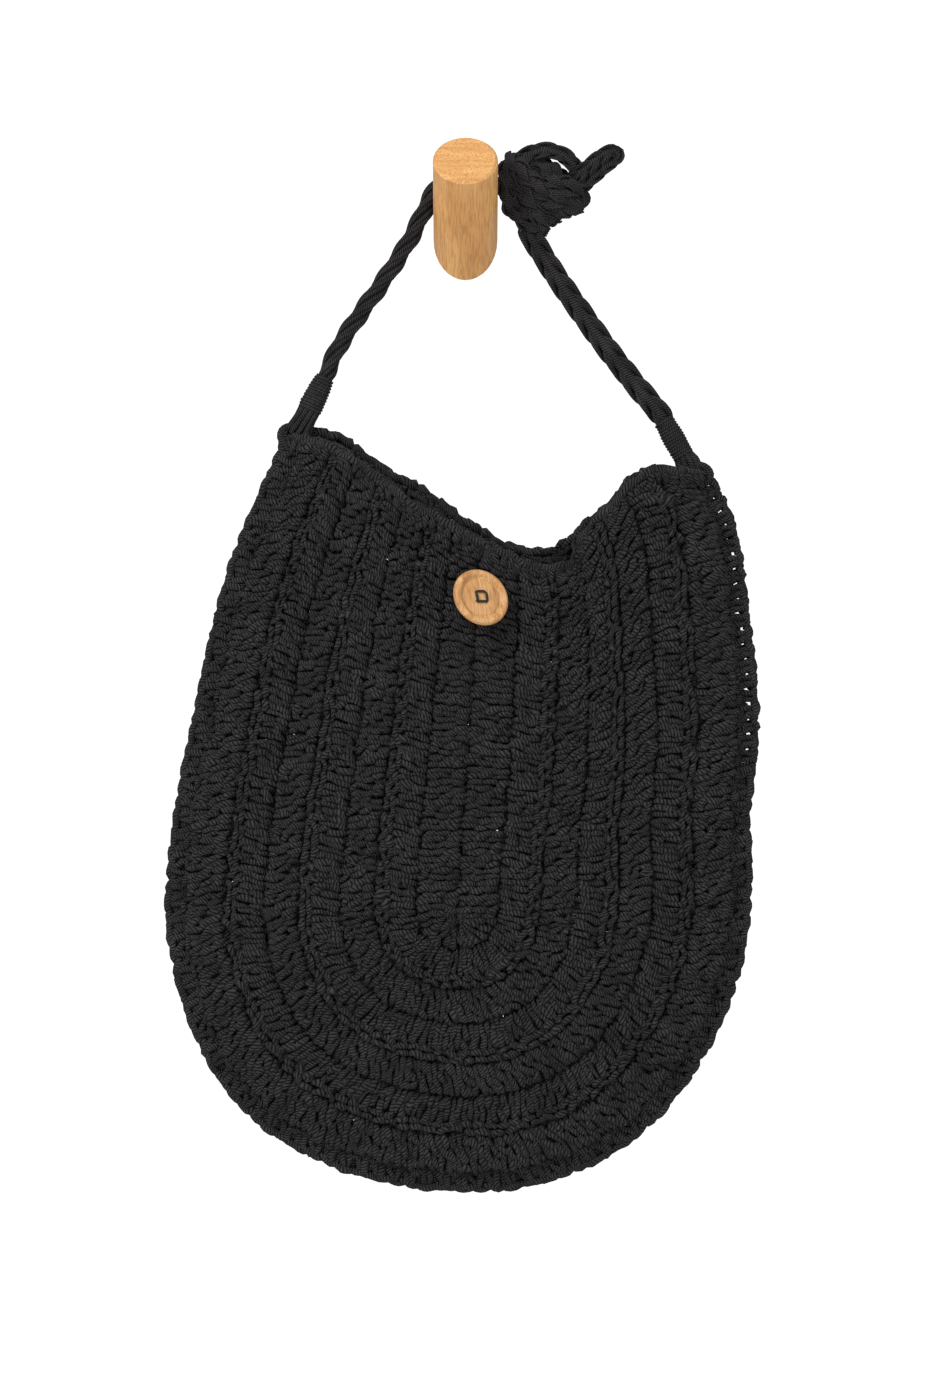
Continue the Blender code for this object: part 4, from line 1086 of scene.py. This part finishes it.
# Routes of the braid in the knot's shares across, up and forward: the hindmost first, two gap fillers last
KNOT_TURNS = [
    [(0.18, 0.92, -0.14), (0.14, 0.66, -0.30), (0.26, 0.40, -0.34), (0.48, 0.24, -0.32), (0.66, 0.24, -0.16)],
    [(0.36, 0.84, -0.16), (0.60, 0.62, -0.30), (0.84, 0.50, -0.28), (0.93, 0.42, -0.04)],
    [(0.26, 0.97, -0.12), (0.42, 0.93, -0.06), (0.55, 0.86, -0.02), (0.67, 0.76, 0.02), (0.78, 0.62, 0.04)],
    [(0.24, 0.94, -0.06), (0.38, 0.88, 0.02), (0.52, 0.79, 0.06), (0.64, 0.69, 0.10), (0.74, 0.56, 0.10)],
    [(0.46, 0.72, 0.06), (0.62, 0.64, 0.28), (0.80, 0.61, 0.30), (0.92, 0.52, 0.12), (0.91, 0.42, -0.10)],
    [(0.40, 0.42, 0.22), (0.56, 0.33, 0.34), (0.74, 0.29, 0.26), (0.88, 0.36, 0.02)],
    [
        (0.20, 1.00, -0.05), (0.10, 0.89, 0.18), (0.07, 0.62, 0.28), (0.11, 0.36, 0.28),
        (0.26, 0.17, 0.20), (0.42, 0.10, 0.10),
    ],
    [(0.16, 0.60, 0.20), (0.27, 0.42, 0.34), (0.40, 0.26, 0.36), (0.49, 0.12, 0.22), (0.48, 0.08, -0.06)],
    [
        (0.15, 0.97, 0.05), (0.25, 0.83, 0.30), (0.38, 0.66, 0.40), (0.54, 0.53, 0.42),
        (0.74, 0.44, 0.38), (0.92, 0.38, 0.10),
    ],
    [(0.10, 0.82, 0.06), (0.21, 0.68, 0.28), (0.37, 0.50, 0.34), (0.52, 0.36, 0.28)],
    [(0.14, 0.40, 0.16), (0.27, 0.28, 0.28), (0.44, 0.20, 0.26), (0.60, 0.20, 0.12)],
]
LOOP_ROUTE = [
    (0.18, 0.90, 0.04), (0.33, 1.00, 0.06), (0.48, 1.05, 0.08), (0.63, 1.03, 0.08),
    (0.76, 0.95, 0.08), (0.85, 0.82, 0.08), (0.88, 0.66, 0.06),
]
TAIL_ROUTE = [
    (0.82, 0.68, 0.18), (0.95, 0.82, 0.16), (1.06, 0.93, 0.12), (1.16, 1.01, 0.08),
    (1.25, 1.05, 0.04), (1.31, 1.02, 0.00), (1.29, 0.95, 0.00), (1.21, 0.88, 0.06),
    (1.12, 0.79, 0.10), (1.00, 0.67, 0.12), (0.90, 0.56, 0.12),
]
core_size = [share * side for share, side in zip(CORE_SHARES, (KNOT_WIDTH, KNOT_DEPTH, KNOT_HEIGHT))]
bm = bmesh.new()
core = bmesh.ops.create_icosphere(bm, subdivisions=3, radius=1.0)["verts"]
bmesh.ops.scale(bm, verts=core, vec=core_size)
bmesh.ops.translate(bm, verts=core, vec=KNOT_CORE)
for number, route in enumerate(KNOT_TURNS):
    path = resample(spline([knot_place(*spot) for spot in route], 24), PLAIT_STEP)
    facings = [(spot - KNOT_CORE).normalized() for spot in path]
    plait(bm, path, facings, size=KNOT_BRAID_SIZE, phase=TURN_PHASE * number)
made = finish("knot_turns", bm, tight_yarn)
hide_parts("knot_body")
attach(made, "root")

for name, node, route, size in (
    ("knot_bow", "knot_loop", LOOP_ROUTE, LOOP_SIZE),
    ("knot_end", "knot_tail", TAIL_ROUTE, TAIL_SIZE),
):
    path = resample(spline([knot_place(*spot) for spot in route], 40), PLAIT_STEP)
    bm = bmesh.new()
    plait(bm, path, [BACKWARD] * len(path), size=size)
    made = finish(name, bm, tight_yarn)
    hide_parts(node)
    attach(made, "root")

# Button
# A turned wooden button with a round rim, a shallow floor and four holes. It hangs a little turned, so its
# face looks up to the right.
BUTTON_DIAMETER = 0.0276
BUTTON_THICKNESS = 0.0042
BUTTON_HOLE_DIAMETER = 0.0026
BUTTON_HOLE_SPACING = 0.0050
BUTTON_STAND_OFF = 0.0062
BUTTON_FACING = Vector((0.42, -0.83, 0.36)).normalized()
BUTTON_FOOT = (-1, 0.006, 0.818)
BUTTON_FLOOR = 0.714

# From the middle of the back round the rim to the middle of the floor: radius, then height, as shares
BUTTON_PROFILE = [
    (0.0, 0.0), (0.78, 0.0), (0.90, 0.06), (0.97, 0.24), (1.0, 0.48), (0.985, 0.72),
    (0.95, 0.90), (0.90, 0.99), (0.85, 1.0), (0.80, 0.93), (0.75, 0.80), (0.72, 0.68),
    (0.695, 0.62), (0.665, 0.62), (0.645, 0.68), (0.62, BUTTON_FLOOR), (0.0, BUTTON_FLOOR),
]
BUTTON_GRAIN = (0.35, 0.2, 0.5)
BUTTON_LOOK = {
    "light": (0.76, 0.43, 0.175),
    "dark": (0.50, 0.235, 0.075),
    "fleck": (0.33, 0.14, 0.045),
    "layers": 420.0,
    "flecks": 1900.0,
    "roughness": 0.42,
}

button_across = Vector((0.0, 0.0, 1.0)).cross(-BUTTON_FACING).normalized()
button_upward = (-BUTTON_FACING).cross(button_across).normalized()
button_turn = Matrix((button_across, button_upward, BUTTON_FACING)).transposed().to_4x4()
button_seat = front_point(*BUTTON_FOOT) + BUTTON_FACING * (PANEL_THICKNESS / 2) + FORWARD * BUTTON_STAND_OFF
button_frame = Matrix.Translation(button_seat) @ button_turn

bm = bmesh.new()
radius = BUTTON_DIAMETER / 2
profile = [bm.verts.new((r * radius, 0.0, h * BUTTON_THICKNESS)) for r, h in BUTTON_PROFILE]
edges = [bm.edges.new(pair) for pair in zip(profile, profile[1:])]
bmesh.ops.spin(bm, geom=profile + edges, axis=(0.0, 0.0, 1.0), angle=2 * math.pi, steps=96, use_merge=True)
bmesh.ops.remove_doubles(bm, verts=bm.verts, dist=1e-6)
bmesh.ops.recalc_face_normals(bm, faces=bm.faces)
bmesh.ops.transform(bm, verts=bm.verts, matrix=button_frame)
button_wood = wood("button_wood", BUTTON_GRAIN, **BUTTON_LOOK)
button = finish("turned_button", bm, button_wood)
half = BUTTON_HOLE_SPACING / 2
HOLES = [Vector((x, y, 0.0)) for x, y in ((-half, -half), (half, -half), (half, half), (-half, half))]
bm = bmesh.new()
for hole in HOLES:
    drill = bmesh.ops.create_cone(
        bm,
        cap_ends=True,
        segments=24,
        radius1=BUTTON_HOLE_DIAMETER / 2,
        radius2=BUTTON_HOLE_DIAMETER / 2,
        depth=4 * BUTTON_THICKNESS,
    )["verts"]
    bmesh.ops.translate(bm, verts=drill, vec=hole)
bmesh.ops.transform(bm, verts=bm.verts, matrix=button_frame)
drills = finish("drills", bm, button_wood)
boring = button.modifiers.new("holes", "BOOLEAN")
boring.operation = "DIFFERENCE"
boring.solver = "EXACT"
boring.object = drills
bored = bpy.data.meshes.new_from_object(button.evaluated_get(bpy.context.evaluated_depsgraph_get()))
button.modifiers.remove(boring)
button.data = bored
bored.shade_smooth()
bored.set_sharp_from_angle(angle=math.radians(38.0))
bpy.data.objects.remove(drills, do_unlink=True)
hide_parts("button")
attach(button, "root")

# Button thread
# Two passes of a thin black thread run from hole to hole in a square. Legs go down through the holes to the
# crochet, and a short end is left at one corner.
THREAD_RADIUS = 0.00034
THREAD_FLOOR = BUTTON_FLOOR * BUTTON_THICKNESS
THREAD_COLOUR = (0.006, 0.006, 0.0065)
THREAD_TWIST = 0.0004

# One pass from hole to hole: share of the way, share of the distance aside, and height over the floor
THREAD_PASS = [
    (0.0, 1.0, -0.0016), (0.02, 1.0, -0.0002), (0.2, 1.0, 0.0006), (0.5, 1.15, 0.0007),
    (0.8, 1.0, 0.0006), (0.98, 1.0, -0.0002), (1.0, 1.0, -0.0016),
]

thread_black, thread_tree, thread_shader = plain_material("black_thread", THREAD_COLOUR, 0.7)
thread_shader.inputs["Sheen Weight"].default_value = 0.15
relief = add_node(thread_tree, "ShaderNodeBump", Strength=0.5, Distance=0.0001)
thread_tree.links.new(twist_wave(thread_tree, THREAD_TWIST, 2), relief.inputs["Height"])
thread_tree.links.new(relief.outputs["Normal"], thread_shader.inputs["Normal"])

bm = bmesh.new()
for k, hole in enumerate(HOLES):
    there = HOLES[(k + 1) % 4]
    heading = (there - hole).normalized()
    aside = Vector((-heading.y, heading.x, 0.0))
    for lane in (-0.8, 0.8):
        pass_over = []
        for share, spread, height in THREAD_PASS:
            shift = aside * (spread * lane * THREAD_RADIUS)
            pass_over.append(hole.lerp(there, share) + shift + Vector((0.0, 0.0, THREAD_FLOOR + height)))
        lay_strand(bm, spline(pass_over, 18), THREAD_RADIUS)
    leg = [hole + Vector((0.0, 0.0, THREAD_FLOOR - 0.0006)), hole * 0.8 + Vector((0.0, 0.0, -0.0100))]
    lay_strand(bm, [leg[0].lerp(leg[1], k / 6) for k in range(7)], 2 * THREAD_RADIUS)
loose_end = [
    HOLES[1] + Vector((0.0, 0.0, THREAD_FLOOR + 0.0003)),
    HOLES[1] + Vector((0.0006, -0.0002, THREAD_FLOOR + 0.0010)),
    HOLES[1] + Vector((0.0014, 0.0001, THREAD_FLOOR + 0.0009)),
]
lay_strand(bm, spline(loose_end, 8), THREAD_RADIUS)
bmesh.ops.transform(bm, verts=bm.verts, matrix=button_frame)
threads = finish("button_stitching", bm, thread_black)
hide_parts("button_thread")
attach(threads, "root")
